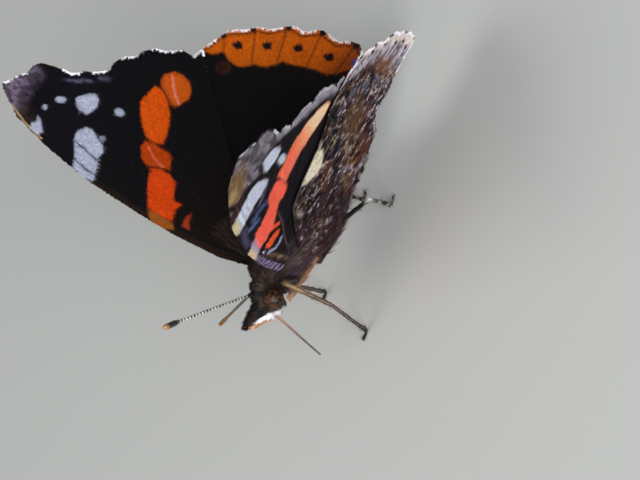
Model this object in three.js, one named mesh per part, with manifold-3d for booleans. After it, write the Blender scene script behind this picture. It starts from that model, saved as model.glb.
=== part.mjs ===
import * as THREE from 'three';
import { mergeVertices } from 'three/addons/utils/BufferGeometryUtils.js';
import Module from 'manifold-3d';

// Red admiral butterfly, life size in millimetres, standing on four feet with its wings half open.
// +Z is up, the head looks toward -Y and the butterfly's left side is +X.
// The body frame has its origin at the wing hinges: a forward, b toward the back, l to the left.

// Driving sizes of the whole animal
const BODY_PITCH = THREE.MathUtils.degToRad(20);
const HINGE_HEIGHT = 8.07;
const HINGE_HALF_SPACING = 1.885;
const WING_THICKNESS = 0.5;
const WING_LAYER_OFFSET = 0.4;
const JOINT_GAP = 0.12;
const CUT_GAP = 0.3;

// Wing shapes: span from the hinge line, and how far forward the edges lie at that span
const FOREWING_COSTA = {
  left: [
    [0.9, 2.1], [3.6, 2.61], [5.9, 2.83], [9.7, 2.99], [12.7, 2.8], [16, 2.7], [17.9, 2.56], [19.3, 2.3],
    [21.6, 1.9], [24.1, 1.4], [26.2, 0.8], [28.2, -0.1], [29.95, -1.1],
  ],
  right: [[0.9, 1.35], [3.5, 2.1], [8.2, 2.52], [12, 2.54], [17.2, 2.42], [22.5, 1.72], [26.9, 0.7], [29.95, -1.1]],
};
const FOREWING_INNER_MARGIN = [[0.9, -2.4], [7.6, -5.75], [11.7, -9.25], [15.6, -12.15]];
const FOREWING_OUTER_MARGIN = [
  [17.3, -11.75], [20.3, -10.1], [22.1, -7.9], [22.6, -6.6], [24.1, -5.7], [26, -5], [28.4, -4.3], [29.95, -1.3],
];
const HINDWING_COSTA = [
  [-2.1, -1.4], [0, -0.4], [4.3, -1.5], [7.7, -2.5], [9, -3.9], [11.3, -7.4], [13.2, -9.1], [15, -10.4], [15.65, -12.4],
];
const HINDWING_MARGIN = [
  [-2.1, -3.4], [-1.2, -6.2], [-0.5, -9.3], [0.3, -12.6], [2.7, -14], [3.3, -17], [4.1, -20.1], [5.2, -20.1],
  [7.8, -19.5], [10.4, -18.3], [12.5, -17], [14.2, -15.8], [15.1, -14.6], [15.65, -13.1],
];
const SCALLOP_DEPTH = 0.16;
const FOREWING_SCALLOP_PITCH = 2.15;
const HINDWING_SCALLOP_PITCH = 2.2;

// How each pair of wings is held: angle above the body's level plane, sweep, shift along the body,
// and the four camber factors of the wing surface
const WING_POSE = {
  left: { side: 1, angle: 0.8366, sweep: 0.0759, shift: -1.224, camber: [-3.07, 1.2, 0.73, 0.51] },
  right: { side: -1, angle: 0.8066, sweep: 0, shift: 0, camber: [-0.55, 0.16, 0.07, -1.3] },
};
const CAMBER_SPAN = 25.71;
const CAMBER_CHORD = 12.86;
const CAMBER_STEP = 0.857;
const FOLD_SPREAD = 0.22;

// Thorax, abdomen and head
const THORAX = { front: 2.8, rear: -5.1, level: -0.3, halfHeight: 2.68, halfWidth: 2.3 };
const ABDOMEN = { front: -5.15, rear: -13.9, level: -0.35, halfHeight: 1.68, halfWidth: 1.55, tipRise: 0.75 };
const HEAD = { forward: 3, up: -1.33, halfLength: 1.45, halfHeight: 1.85, halfWidth: 1.22 };
const EYE = { forward: 2.9, up: -1.22, side: 0.98, radius: 0.9 };
const PALP = { base: [3.7, -1.72, 0.46], tip: [6.6, -1.08, 0.25], halfHeight: 1.22, halfWidth: 0.43 };

// Feelers, tongue and legs
const LIMB_RADIUS = 0.25;
const CLUB_RADIUS = 0.31;
const FEELERS = {
  left: { socket: [3.5, 0.4, 0.45], shaftEnd: [9.85, 6.35, 3.35], tip: [11.1, 7.8, 4.85] },
  right: { socket: [3.6, 0.15, -0.45], shaftEnd: [5.35, -3.48, -8.62], tip: [5.82, -4.45, -10.8] },
};
const TONGUE = [[3.7, -3.05, 0], [3.75, -4.4, 0], [3.85, -6.2, 0], [3.95, -8.55, 0]];
const FOOT_LENGTH = 0.75;
const FOOT_HEIGHT = 0.19;
const LEGS = {
  mid_left: { hip: [0, -2.3, 0.9], knee: [1.7, 0.35, 3.8], ankle: [0.7, -4.35, 4.3], foot: [1.2, 4.29] },
  mid_right: { hip: [0, -2.3, -0.9], knee: [0.65, -1, -3.15], ankle: [-0.25, -5.25, -3.95], foot: [-0.7, -4.29] },
  hind_left: { hip: [-2.2, -2.95, 0.75], knee: [-6, -2.1, 1.55], ankle: [-8.45, -1.65, 4.3], foot: [-10.58, 2.31] },
  hind_right: { hip: [-2.2, -2.95, -0.75], knee: [-6, -2.1, -1.55], ankle: [-8.5, -2.6, -3.8], foot: [-10.4, -2.6] },
};
const FORELEG = { hip: [0.5, -2.2, 1.7], knee: [1.9, -1.95, 1.85] };
const THIGH_RADIUS = 0.32;

// Facets
const ROUND = 16;
const LIMB_SIDES = 8;
const WING_ROWS = 30;
const WING_COLUMNS = 6;
const FOOT_STEPS = 9;

const wasm = await Module();
wasm.setup();

// Position in the standing frame of a point given in the body frame
function standing(a, b, l) {
  const y = -a * Math.cos(BODY_PITCH) + b * Math.sin(BODY_PITCH);
  const z = HINGE_HEIGHT + a * Math.sin(BODY_PITCH) + b * Math.cos(BODY_PITCH);
  return new THREE.Vector3(l, y, z);
}

// Height of the edge at one span, read along a short row of named edge points
function edgeAt(points, span) {
  if (span <= points[0][0]) return points[0][1];
  for (let i = 1; i < points.length; i += 1) {
    const [s1, f1] = points[i];
    const [s0, f0] = points[i - 1];
    if (span <= s1) return THREE.MathUtils.lerp(f0, f1, (span - s0) / (s1 - s0));
  }
  return points[points.length - 1][1];
}

function toSolid(geometry) {
  geometry.deleteAttribute('normal');
  geometry.deleteAttribute('uv');
  const merged = mergeVertices(geometry, 1e-5);
  const vertProperties = new Float32Array(merged.attributes.position.array);
  const triVerts = new Uint32Array(merged.index.array);
  return new wasm.Manifold(new wasm.Mesh({ numProp: 3, vertProperties, triVerts }));
}

function toGeometry(solid) {
  const cut = solid.getMesh();
  const geometry = new THREE.BufferGeometry();
  geometry.setAttribute('position', new THREE.BufferAttribute(new Float32Array(cut.vertProperties), 3));
  geometry.setIndex(new THREE.BufferAttribute(new Uint32Array(cut.triVerts), 1));
  return geometry;
}

// The geometry left when each cutter is taken away, largest piece only
function carve(geometry, cutters) {
  let solid = toSolid(geometry);
  for (const cutter of cutters) solid = solid.subtract(toSolid(cutter));
  const pieces = solid.decompose();
  pieces.sort((p, q) => q.volume() - p.volume());
  return toGeometry(pieces[0]);
}

// A round form along the body axis, with its radius from a profile function of -1 (rear) to 1 (front)
function axialForm(size, profile, grow = 0, rings = 14, rise = () => 0) {
  const middle = (size.front + size.rear) / 2;
  const half = (size.front - size.rear) / 2 + grow;
  const outline = [];
  for (let i = 0; i <= rings; i += 1) {
    const t = -Math.cos((Math.PI * i) / rings);
    const r = i === 0 || i === rings ? 0 : profile(t);
    outline.push(new THREE.Vector2(r, t));
  }
  const geometry = new THREE.LatheGeometry(outline, ROUND);
  const position = geometry.attributes.position;
  for (let i = 0; i < position.count; i += 1) {
    const t = position.getY(i);
    const l = position.getX(i) * (size.halfWidth + grow);
    const b = -position.getZ(i) * (size.halfHeight + grow) + size.level + rise(t);
    const p = standing(middle + half * t, b, l);
    position.setXYZ(i, p.x, p.y, p.z);
  }
  return geometry;
}

function thoraxForm(grow = 0) {
  return axialForm(THORAX, (t) => (t > 0 ? (1 - t ** 4) ** 0.3 : (1 - t * t) ** 0.42), grow);
}

function abdomenForm(grow = 0) {
  const profile = (t) => (1 - Math.abs(t) ** 3) ** 0.5 * (1 + 0.25 * Math.min(0, t));
  return axialForm(ABDOMEN, profile, grow, 14, (t) => ABDOMEN.tipRise * Math.max(0, -t) ** 2);
}

// A ball stretched along the body axes
function bodyBall(a, b, l, halfLength, halfHeight, halfWidth, segments = ROUND) {
  const geometry = new THREE.SphereGeometry(1, segments, segments * 0.6);
  const position = geometry.attributes.position;
  for (let i = 0; i < position.count; i += 1) {
    const p = standing(
      a + position.getZ(i) * halfLength,
      b + position.getY(i) * halfHeight,
      l + position.getX(i) * halfWidth,
    );
    position.setXYZ(i, p.x, p.y, p.z);
  }
  return geometry;
}

function headForm(grow = 0) {
  const { forward, up, halfLength, halfHeight, halfWidth } = HEAD;
  return bodyBall(forward, up, 0, halfLength + grow, halfHeight + grow, halfWidth + grow);
}

function eyeForm(side, grow = 0) {
  const r = EYE.radius + grow;
  return bodyBall(EYE.forward, EYE.up, side * EYE.side, r, r * 1.05, r * 0.95, 14);
}

// A round rod between two points of the standing frame with its own radius along its length
function rod(start, end, radiusAt, sides = LIMB_SIDES, rings = 7) {
  const length = start.distanceTo(end);
  const outline = [];
  for (let i = 0; i <= rings; i += 1) {
    const t = i / rings;
    const capped = i === 0 || i === rings ? 0.72 : 1;
    outline.push(new THREE.Vector2(radiusAt(t) * capped, t * length));
  }
  outline.unshift(new THREE.Vector2(0, 0));
  outline.push(new THREE.Vector2(0, length));
  const geometry = new THREE.LatheGeometry(outline, sides);
  const along = end.clone().sub(start).normalize();
  geometry.applyQuaternion(new THREE.Quaternion().setFromUnitVectors(new THREE.Vector3(0, 1, 0), along));
  geometry.translate(start.x, start.y, start.z);
  return geometry;
}

// The rod between two joints, drawn back from each by the joint gap
function bone(start, end, radiusAt) {
  const along = end.clone().sub(start).normalize().multiplyScalar(JOINT_GAP);
  return rod(start.clone().add(along), end.clone().sub(along), radiusAt);
}

// A tube of even thickness along a smooth curve
function tube(points, radius, steps) {
  const section = new THREE.Shape();
  section.absarc(0, 0, radius, 0, Math.PI * 2);
  const path = new THREE.CatmullRomCurve3(points);
  return new THREE.ExtrudeGeometry(section, { steps, extrudePath: path, curveSegments: LIMB_SIDES / 2, bevelEnabled: false });
}

// Palps: two flattened cones side by side under the front of the head
function palpForm(side) {
  const outline = [new THREE.Vector2(0, 0)];
  const rings = 8;
  for (let i = 0; i < rings; i += 1) {
    const t = i / rings;
    outline.push(new THREE.Vector2((1 - t) ** 0.75, t));
  }
  outline.push(new THREE.Vector2(0.14, 1), new THREE.Vector2(0, 1.02));
  const geometry = new THREE.LatheGeometry(outline, 12);
  const position = geometry.attributes.position;
  for (let i = 0; i < position.count; i += 1) {
    const t = position.getY(i);
    const p = standing(
      THREE.MathUtils.lerp(PALP.base[0], PALP.tip[0], t),
      THREE.MathUtils.lerp(PALP.base[1], PALP.tip[1], t) - position.getZ(i) * PALP.halfHeight,
      side * THREE.MathUtils.lerp(PALP.base[2], PALP.tip[2], t) + position.getX(i) * PALP.halfWidth,
    );
    position.setXYZ(i, p.x, p.y, p.z);
  }
  return geometry;
}

// A wing point from its forward and span distances; lift is measured out of the upper side
function wingPoint(pose, forward, span, lift) {
  const s1 = Math.max(span, 0) / CAMBER_SPAN;
  const f1 = forward / CAMBER_CHORD;
  const [c0, c1, c2, c3] = pose.camber;
  const bend = CAMBER_STEP * (c0 * s1 * s1 + c1 * s1 * f1 + c2 * f1 * f1 * s1 + c3 * s1 ** 3);
  const out = bend + lift;
  const a = forward * Math.cos(pose.sweep) + span * Math.sin(pose.sweep) + pose.shift;
  const s = span * Math.cos(pose.sweep) - forward * Math.sin(pose.sweep) * Math.min(1, Math.max(0, span));
  if (span >= 0) {
    const l = HINGE_HALF_SPACING + s * Math.cos(pose.angle) - out * Math.sin(pose.angle);
    return standing(a, s * Math.sin(pose.angle) + out * Math.cos(pose.angle), pose.side * l);
  }
  const l = HINGE_HALF_SPACING - span * FOLD_SPREAD - out * Math.sin(pose.angle);
  return standing(a, span + out * Math.cos(pose.angle), pose.side * l);
}

// A thin closed plate over a grid of span rows and chord columns
function wingPlate(pose, spans, trailing, leading, layer) {
  const columns = WING_COLUMNS;
  const rows = spans.length - 1;
  const points = [];
  for (const face of [0.5, -0.5]) {
    for (let i = 0; i <= rows; i += 1) {
      for (let j = 0; j <= columns; j += 1) {
        const f = THREE.MathUtils.lerp(trailing(spans[i]), leading(spans[i]), j / columns);
        const p = wingPoint(pose, f, spans[i], layer + face * WING_THICKNESS);
        points.push(p.x, p.y, p.z);
      }
    }
  }
  const at = (face, i, j) => face * (rows + 1) * (columns + 1) + i * (columns + 1) + j;
  const index = [];
  const quad = (p, q, r, s) => {
    if (pose.side > 0) index.push(p, q, r, p, r, s);
    else index.push(p, r, q, p, s, r);
  };
  for (let i = 0; i < rows; i += 1) {
    for (let j = 0; j < columns; j += 1) {
      quad(at(0, i, j), at(0, i, j + 1), at(0, i + 1, j + 1), at(0, i + 1, j));
      quad(at(1, i, j), at(1, i + 1, j), at(1, i + 1, j + 1), at(1, i, j + 1));
    }
    quad(at(0, i, 0), at(0, i + 1, 0), at(1, i + 1, 0), at(1, i, 0));
    quad(at(0, i, columns), at(1, i, columns), at(1, i + 1, columns), at(0, i + 1, columns));
  }
  for (let j = 0; j < columns; j += 1) {
    quad(at(0, 0, j), at(1, 0, j), at(1, 0, j + 1), at(0, 0, j + 1));
    quad(at(0, rows, j), at(0, rows, j + 1), at(1, rows, j + 1), at(1, rows, j));
  }
  const geometry = new THREE.BufferGeometry();
  geometry.setAttribute('position', new THREE.Float32BufferAttribute(points, 3));
  geometry.setIndex(index);
  return geometry;
}

function evenSteps(from, to, count) {
  return Array.from({ length: count + 1 }, (_, i) => THREE.MathUtils.lerp(from, to, i / count));
}

// Shallow bays between the veins of an outer margin
function scallop(span, pitch) {
  return SCALLOP_DEPTH * Math.cos((2 * Math.PI * span) / pitch);
}

function forewingForm(pose, costa) {
  const margin = [...FOREWING_INNER_MARGIN, ...FOREWING_OUTER_MARGIN];
  const trailing = (s) => edgeAt(margin, s) + (s > 17 ? scallop(s, FOREWING_SCALLOP_PITCH) : 0);
  const spans = evenSteps(costa[0][0], costa[costa.length - 1][0], WING_ROWS);
  return wingPlate(pose, spans, trailing, (s) => edgeAt(costa, s), WING_LAYER_OFFSET);
}

function hindwingForm(pose) {
  const trailing = (s) => edgeAt(HINDWING_MARGIN, s) + (s > 2 ? scallop(s, HINDWING_SCALLOP_PITCH) : 0);
  const spans = [...evenSteps(-2.1, 0, 4), ...evenSteps(0.25, 15.65, WING_ROWS - 4)];
  return wingPlate(pose, spans, trailing, (s) => edgeAt(HINDWING_COSTA, s), -WING_LAYER_OFFSET);
}

// A large flat block under the floor that trims a foot level
function floorBlock() {
  const block = new THREE.BoxGeometry(80, 80, 4);
  block.translate(0, 0, -2);
  return block;
}

// The last leg section: down from the ankle, then a short foot lying flat on the floor
function tarsusForm(ankle, foot) {
  const toe = standing(foot[0], 0, foot[1]);
  toe.z = FOOT_HEIGHT;
  const footAhead = Math.sign(foot[0] + 5);
  toe.y = -(foot[0] * Math.cos(BODY_PITCH)) + bodyDrop(foot[0]);
  const heel = toe.clone().add(new THREE.Vector3(0, footAhead * FOOT_LENGTH, 0.03));
  const along = heel.clone().sub(ankle);
  const top = ankle.clone().addScaledVector(along.clone().normalize(), JOINT_GAP);
  const bend = ankle.clone().addScaledVector(along, 0.72);
  return carve(tube([top, bend, heel, toe], LIMB_RADIUS, FOOT_STEPS), [floorBlock()]);
}

// Shift along Y that a point on the floor gets from the body's pitch
function bodyDrop(a) {
  const b = (-HINGE_HEIGHT - a * Math.sin(BODY_PITCH)) / Math.cos(BODY_PITCH);
  return b * Math.sin(BODY_PITCH);
}

function material(color, roughness) {
  return new THREE.MeshStandardMaterial({ color, roughness, metalness: 0 });
}

const furBrown = material('#2b211c', 0.95);
const wingBrown = material('#2a1c17', 0.85);
const legTan = material('#6b4a2c', 0.6);
const legBlack = material('#1f1814', 0.6);
const feelerBlack = material('#24201d', 0.55);
const clubTan = material('#b98b5e', 0.6);
const palpTan = material('#a98560', 0.9);
const eyeBrown = material('#4a2c16', 0.3);
const tongueBrown = material('#5a3a22', 0.45);

const group = new THREE.Group();

function addPart(name, geometry, partMaterial) {
  const mesh = new THREE.Mesh(geometry, partMaterial);
  mesh.name = name;
  group.add(mesh);
}

const sides = { left: 1, right: -1 };
const eyeCutters = Object.values(sides).map((side) => eyeForm(side, JOINT_GAP));
addPart('head', carve(headForm(), eyeCutters), furBrown);
addPart('thorax', carve(thoraxForm(), [headForm(CUT_GAP), ...eyeCutters]), furBrown);
addPart('abdomen', carve(abdomenForm(), [thoraxForm(JOINT_GAP)]), furBrown);
const tongueCurve = TONGUE.map((p) => standing(...p));
addPart('proboscis', carve(tube(tongueCurve, LIMB_RADIUS, 10), [headForm(JOINT_GAP)]), tongueBrown);
const tongueCutter = tube(tongueCurve, LIMB_RADIUS + JOINT_GAP, 10);

for (const [name, side] of Object.entries(sides)) {
  const pose = WING_POSE[name];
  const feeler = FEELERS[name];
  addPart(`eye_${name}`, eyeForm(side), eyeBrown);
  const palpCutters = [headForm(JOINT_GAP), ...eyeCutters, tongueCutter];
  addPart(`palp_${name}`, carve(palpForm(side), palpCutters), palpTan);
  const socket = standing(...feeler.socket);
  const shaftEnd = standing(...feeler.shaftEnd);
  const clubEnd = standing(...feeler.tip);
  const shaft = bone(socket, shaftEnd, () => LIMB_RADIUS);
  addPart(`antenna_${name}`, carve(shaft, [headForm(CUT_GAP), ...eyeCutters, thoraxForm(CUT_GAP)]), feelerBlack);
  const club = rod(shaftEnd, clubEnd, (t) => CLUB_RADIUS * (0.8 + 0.2 * Math.sin(Math.PI * t)));
  addPart(`antenna_club_${name}`, club, clubTan);
  const bodyCutters = [thoraxForm(CUT_GAP), abdomenForm(CUT_GAP)];
  addPart(`forewing_${name}`, carve(forewingForm(pose, FOREWING_COSTA[name]), bodyCutters), wingBrown);
  addPart(`hindwing_${name}`, carve(hindwingForm(pose), bodyCutters), wingBrown);
  const brushHip = standing(FORELEG.hip[0], FORELEG.hip[1], side * FORELEG.hip[2]);
  const brushKnee = standing(FORELEG.knee[0], FORELEG.knee[1], side * FORELEG.knee[2]);
  const brushCutters = [thoraxForm(JOINT_GAP), headForm(CUT_GAP), ...eyeCutters];
  addPart(`foreleg_${name}`, carve(bone(brushHip, brushKnee, () => LIMB_RADIUS), brushCutters), palpTan);
}

for (const [name, leg] of Object.entries(LEGS)) {
  const legMaterial = name.startsWith('mid') ? legTan : legBlack;
  const [hip, knee, ankle] = [leg.hip, leg.knee, leg.ankle].map((p) => standing(...p));
  const femur = bone(hip, knee, (t) => THREE.MathUtils.lerp(THIGH_RADIUS, LIMB_RADIUS, t));
  addPart(`femur_${name}`, carve(femur, [thoraxForm(CUT_GAP)]), legMaterial);
  addPart(`tibia_${name}`, bone(knee, ankle, () => LIMB_RADIUS), legMaterial);
  addPart(`tarsus_${name}`, tarsusForm(ankle, leg.foot), legMaterial);
}

// The origin is on the floor, under the middle of the butterfly's box
group.updateMatrixWorld(true);
const box = new THREE.Box3().setFromObject(group, true);
const centre = box.getCenter(new THREE.Vector3());
for (const mesh of group.children) mesh.position.set(-centre.x, -centre.y, -box.min.z);

export default group;
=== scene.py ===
# Red admiral butterfly, a life-size standing museum model with half-open wings
import math

import bmesh
import bpy
import numpy as np
from mathutils import Matrix, Vector


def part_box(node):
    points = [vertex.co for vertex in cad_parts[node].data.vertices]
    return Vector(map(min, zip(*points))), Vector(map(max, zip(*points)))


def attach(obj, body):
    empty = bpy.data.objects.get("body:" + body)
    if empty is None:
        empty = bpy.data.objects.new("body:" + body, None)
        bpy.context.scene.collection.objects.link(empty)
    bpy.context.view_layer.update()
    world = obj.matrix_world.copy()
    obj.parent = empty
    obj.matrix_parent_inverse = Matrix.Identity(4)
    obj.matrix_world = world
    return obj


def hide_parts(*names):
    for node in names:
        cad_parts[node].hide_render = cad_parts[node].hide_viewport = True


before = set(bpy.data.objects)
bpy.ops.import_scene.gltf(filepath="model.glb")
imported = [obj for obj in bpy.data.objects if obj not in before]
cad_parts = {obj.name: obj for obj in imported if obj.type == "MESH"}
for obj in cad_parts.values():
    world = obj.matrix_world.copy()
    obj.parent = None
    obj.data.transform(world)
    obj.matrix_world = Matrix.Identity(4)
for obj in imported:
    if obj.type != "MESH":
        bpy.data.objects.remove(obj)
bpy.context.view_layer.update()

MM = 0.001
FAR, TINY, WELD = 1e9, 1e-12, 1e-5

# Stance: a is forward along the body, b is up across it, l is to the butterfly's left, all in mm
BODY_PITCH = math.radians(20)
HINGE_HEIGHT = 8.07
HINGE_HALF_SPACING = 1.885
SIDES = {"left": 1, "right": -1}
FACES = {"upper": 1, "under": -1}

# Body forms, in mm
THORAX = {"front": 2.8, "rear": -5.1, "level": -0.3, "half_height": 2.68, "half_width": 2.3}
ABDOMEN = {"front": -5.15, "rear": -13.9, "level": -0.35, "half_height": 1.68, "half_width": 1.55}
ABDOMEN_TIP_RISE = 0.75
NECK = {"front": 3.7, "rear": 0.6, "level": -0.55, "half_height": 1.6, "half_width": 1.3}
WAIST = {"front": -3.4, "rear": -6.6, "level": -0.35, "half_height": 1.45, "half_width": 1.3}
HEAD = {"forward": 3, "up": -1.33, "half_length": 1.45, "half_height": 1.85, "half_width": 1.22}
EYE = {"forward": 2.9, "up": -1.22, "side": 0.98, "radius": 0.9, "shape": (1, 1.05, 0.95)}
PALP = {"base": (3.7, -1.72, 0.46), "tip": (6.6, -1.08, 0.25), "half_height": 1.22, "half_width": 0.43}

# How far the skin lies inside its solids, which is the depth of the coat there, in mm
COAT_DEPTH = {"thorax": 0.42, "abdomen": 0.22, "head": 0.28, "palp": 0.14}
SKIN_VOXEL = 0.1
SKIN_SMOOTHING = 4
SKIN_TONE = 0.7

# Markings of the head as (forward, up) outlines, in mm
WHITE_CHEEK = [
    (1.6, -1.9), (1.95, -2.2), (2.3, -2.5), (2.8, -2.45), (3.3, -2.2), (3.8, -1.8), (4.4, -1.6), (4.9, -1.42),
    (5.25, -1.4), (4.85, -1.7), (4.4, -2.0), (4.0, -2.45), (3.65, -2.82), (3.2, -2.88), (2.8, -2.88),
    (2.4, -2.9), (1.7, -2.75),
]
TAN_CHEEK = [
    (1.2, -1.7), (1.7, -2.6), (2.4, -2.8), (3.2, -2.8), (3.7, -2.75), (4.4, -2.0), (5.2, -1.45), (6.0, -1.2),
    (6.3, -1.35), (6.2, -1.6), (5.2, -2.2), (4.5, -2.8), (4.0, -3.3), (3.1, -3.5), (1.6, -3.5), (0.8, -3),
]
DARK_PALP_TIP = [(5.9, -0.4), (6.0, -1.2), (6.15, -1.5), (7, -1.5), (7, 0.5), (5.7, 0.5)]

# Each part of the coat: tufts to the square mm, their length and width in mm, how far they stand off the skin
# and how far they bend over
COATS = {
    "coat_palps": {"tufts": 460, "length": 0.55, "width": 0.026, "lift": 0.42, "bend": 0.35},
    "coat_head": {"tufts": 380, "length": 0.55, "width": 0.025, "lift": 0.6, "bend": 0.3},
    "coat_thorax": {"tufts": 160, "length": 1.25, "width": 0.036, "lift": 0.5, "bend": 0.5},
    "coat_abdomen": {"tufts": 175, "length": 0.62, "width": 0.044, "lift": 0.38, "bend": 0.4},
}
HAIR_ROOT = 0.03
HAIR_SCATTER = 0.16

# Wing outlines as (span, forward), in mm
FOREWING_COSTA = [
    (0, 1.0), (0.9, 1.35), (3.5, 2.1), (8.2, 2.52), (12, 2.54), (17.2, 2.42), (22.5, 1.72), (26.9, 0.7),
    (29.0, -0.45), (29.9, -1.0), (30.1, -1.2),
]
FOREWING_LEFT_COSTA = [
    (0, 1.7), (0.9, 2.1), (3.6, 2.61), (5.9, 2.83), (9.7, 2.99), (12.7, 2.8), (16, 2.7), (17.9, 2.56),
    (19.3, 2.3), (21.6, 1.9), (24.1, 1.4), (26.2, 0.8), (28.2, -0.1), (29.6, -0.85), (30.1, -1.2),
]
FOREWING_MARGIN = [
    (0, -1.9), (0.9, -2.4), (7.6, -5.75), (11.7, -9.25), (15.4, -12.4), (15.8, -12.75), (16.0, -11.85),
    (17.3, -11.85), (17.9, -11.4), (18.6, -10.95), (19.6, -10.7), (20.3, -10.1), (20.45, -9.6), (20.8, -9.1),
    (21.4, -8.8), (21.8, -8.3), (22.1, -7.8), (22.15, -7.0), (22.4, -6.6), (23.2, -6.1), (24.0, -5.85),
    (24.3, -5.4), (25.0, -5.0), (26.0, -4.95), (27.0, -4.8), (28.2, -4.5), (28.5, -4.1), (28.65, -3.1),
    (29.2, -2.6), (29.7, -1.75), (30.1, -1.3),
]
# The left forewing's outer margin lies a little further in towards the middle of its curve
MARGIN_INSET = 0.8
FOREWING_LEFT_MARGIN = [
    (s - MARGIN_INSET * math.sin(math.pi * max(0, (s - 15.8) / 14.3)), f) for s, f in FOREWING_MARGIN
]
HINDWING_COSTA = [
    (-2.1, -0.9), (0, -0.4), (4.3, -1.5), (7.7, -2.5), (9, -3.9), (11.3, -7.4), (13.2, -9.1), (15, -10.4),
    (15.65, -12.4), (15.8, -12.9),
]
HINDWING_MARGIN = [
    (-2.1, -3.4), (-1.2, -6.2), (-0.5, -9.3), (0.3, -12.6), (2.7, -14.2), (3.1, -17), (3.5, -19.9),
    (4.0, -20.35), (4.6, -20.3), (5.2, -20.0), (5.7, -19.6), (6.5, -19.65), (7.5, -19.8), (8.0, -19.5),
    (8.5, -19.05), (9.0, -18.75), (9.8, -18.85), (10.2, -18.7), (10.7, -18.3), (11.2, -17.8), (11.6, -17.5),
    (12.6, -17.15), (12.8, -16.95), (13.2, -16.6), (13.7, -16.2), (14.3, -15.9), (14.8, -15.5), (15.0, -15.0),
    (15.1, -14.7), (15.3, -14.2), (15.5, -13.7), (15.8, -13.2),
]
HINDWING_LEFT_MARGIN = [
    (-2.1, -3.4), (-1.2, -6.2), (-0.5, -9.3), (0.3, -12.6), (2.9, -13.5), (3.1, -15.6), (4.1, -17.2),
    (4.4, -18.6), (4.5, -20.2), (4.9, -20.45), (5.5, -20.2), (6.2, -20.35), (6.9, -20.0), (7.6, -20.05),
    (8.2, -19.7), (8.8, -19.3), (9.6, -19.2), (10.2, -18.8), *HINDWING_MARGIN[18:],
]
WING_POSE = {
    "left": {"side": 1, "angle": 0.8366, "sweep": 0.0759, "shift": -1.224, "camber": (-3.07, 1.2, 0.73, 0.51)},
    "right": {"side": -1, "angle": 0.8066, "sweep": 0.0, "shift": 0.0, "camber": (-0.55, 0.16, 0.07, -1.3)},
}
CAMBER_SPAN = 25.71
CAMBER_CHORD = 12.86
CAMBER_STEP = 0.857
FOLD_SPREAD = 0.22

# Wing build, in mm
FOREWING_LAYER = 0.14
HINDWING_LAYER = -0.1
MEMBRANE_THICKNESS = 0.05
MEMBRANE_TONE = 0.8
SURFACE_STEP = 0.02
VEIN_HEIGHT = 0.06
VEIN_WIDTH = 0.11
SCALE_PITCH = 0.148
SCALE_SPACING = 0.12
SCALE_LENGTH = 0.225
SCALE_WIDTH = 0.132
SCALE_ROWS = (1.0, 34)
SCALE_ARC = (-math.pi, 0.35)
SCALE_INSET = 0.02
SCALE_LIFT, SCALE_BEND = 0.16, 0.35
# How far the scales stray from even rows, places, directions, tones and sizes
SCALE_SCATTER = {
    "row": 0.12, "span": 0.012, "turn": 0.09, "light": 0.13, "hue": 0.02, "size": 0.07, "lift": 0.03,
}
FRINGE_LENGTH, FRINGE_WIDTH = 0.28, 0.085
FRINGE_SPACING = 0.055
FRINGE_LAYERS = 4
FRINGE_INSET = 0.12
FRINGE_SLOPE = 0.25

# Veins as (span, forward) lines from the root to the margin, in mm
FOREWING_VEINS = [
    [(0, 0.5), (4, 1.5), (9, 1.85), (17, 1.75), (22.3, 1.25)],
    [(0.2, 0.1), (5, 0.9), (9.5, 1.0), (14.5, 1.2), (19.7, 1.1), (25, 0.4), (29.4, -1.1)],
    [(11, 0.6), (14, 0.5), (18.1, 0.45), (20.4, 0), (25, -0.9), (29.2, -2.6)],
    [(12.8, -0.9), (17, -0.9), (20, -1.9), (24, -3.3), (28.4, -4.4)],
    [(12.9, -1.45), (16, -2.3), (20, -4), (24.1, -5.7)],
    [(2, -0.6), (6, -1.2), (12.2, -1.95), (14.6, -2.9), (18, -5), (22.1, -7.8)],
    [(8, -1.45), (11.5, -2.6), (14.9, -4.1), (17.7, -6.6), (20.5, -9.7)],
    [(5, -1.2), (9, -3.4), (12, -5.2), (14.9, -6.9), (16.9, -8.2), (19.4, -10.7)],
    [(0.6, -1.6), (5, -3.6), (8, -5.5), (11.5, -8.8), (15.4, -11.9)],
    [(11.9, -1.9), (13.3, -1.35), (13.2, -0.6)],
]
HINDWING_VEINS = [
    [(0.2, -0.9), (4, -2.2), (8, -4.6), (12, -8.9), (15.5, -12.6)],
    [(0.3, -1.2), (4, -3.6), (8, -6.4), (11, -9.6), (14, -13.6), (14.9, -15)],
    [(7, -6.0), (9.2, -9.8), (11.3, -14.1), (12.8, -16.9)],
    [(5, -6.4), (7.3, -10.5), (9.3, -15.1), (10.4, -18.4)],
    [(0.2, -1.7), (3.2, -5.4), (5.4, -10.6), (6.9, -16.2), (7.5, -19.6)],
    [(2.9, -5.0), (4.0, -10.6), (4.4, -15.6), (4.3, -20.2)],
    [(0.1, -2.0), (1.5, -6.4), (2.0, -10), (2.6, -14)],
    [(-0.4, -2.0), (-0.6, -5.5), (-0.2, -9.6)],
]

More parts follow.
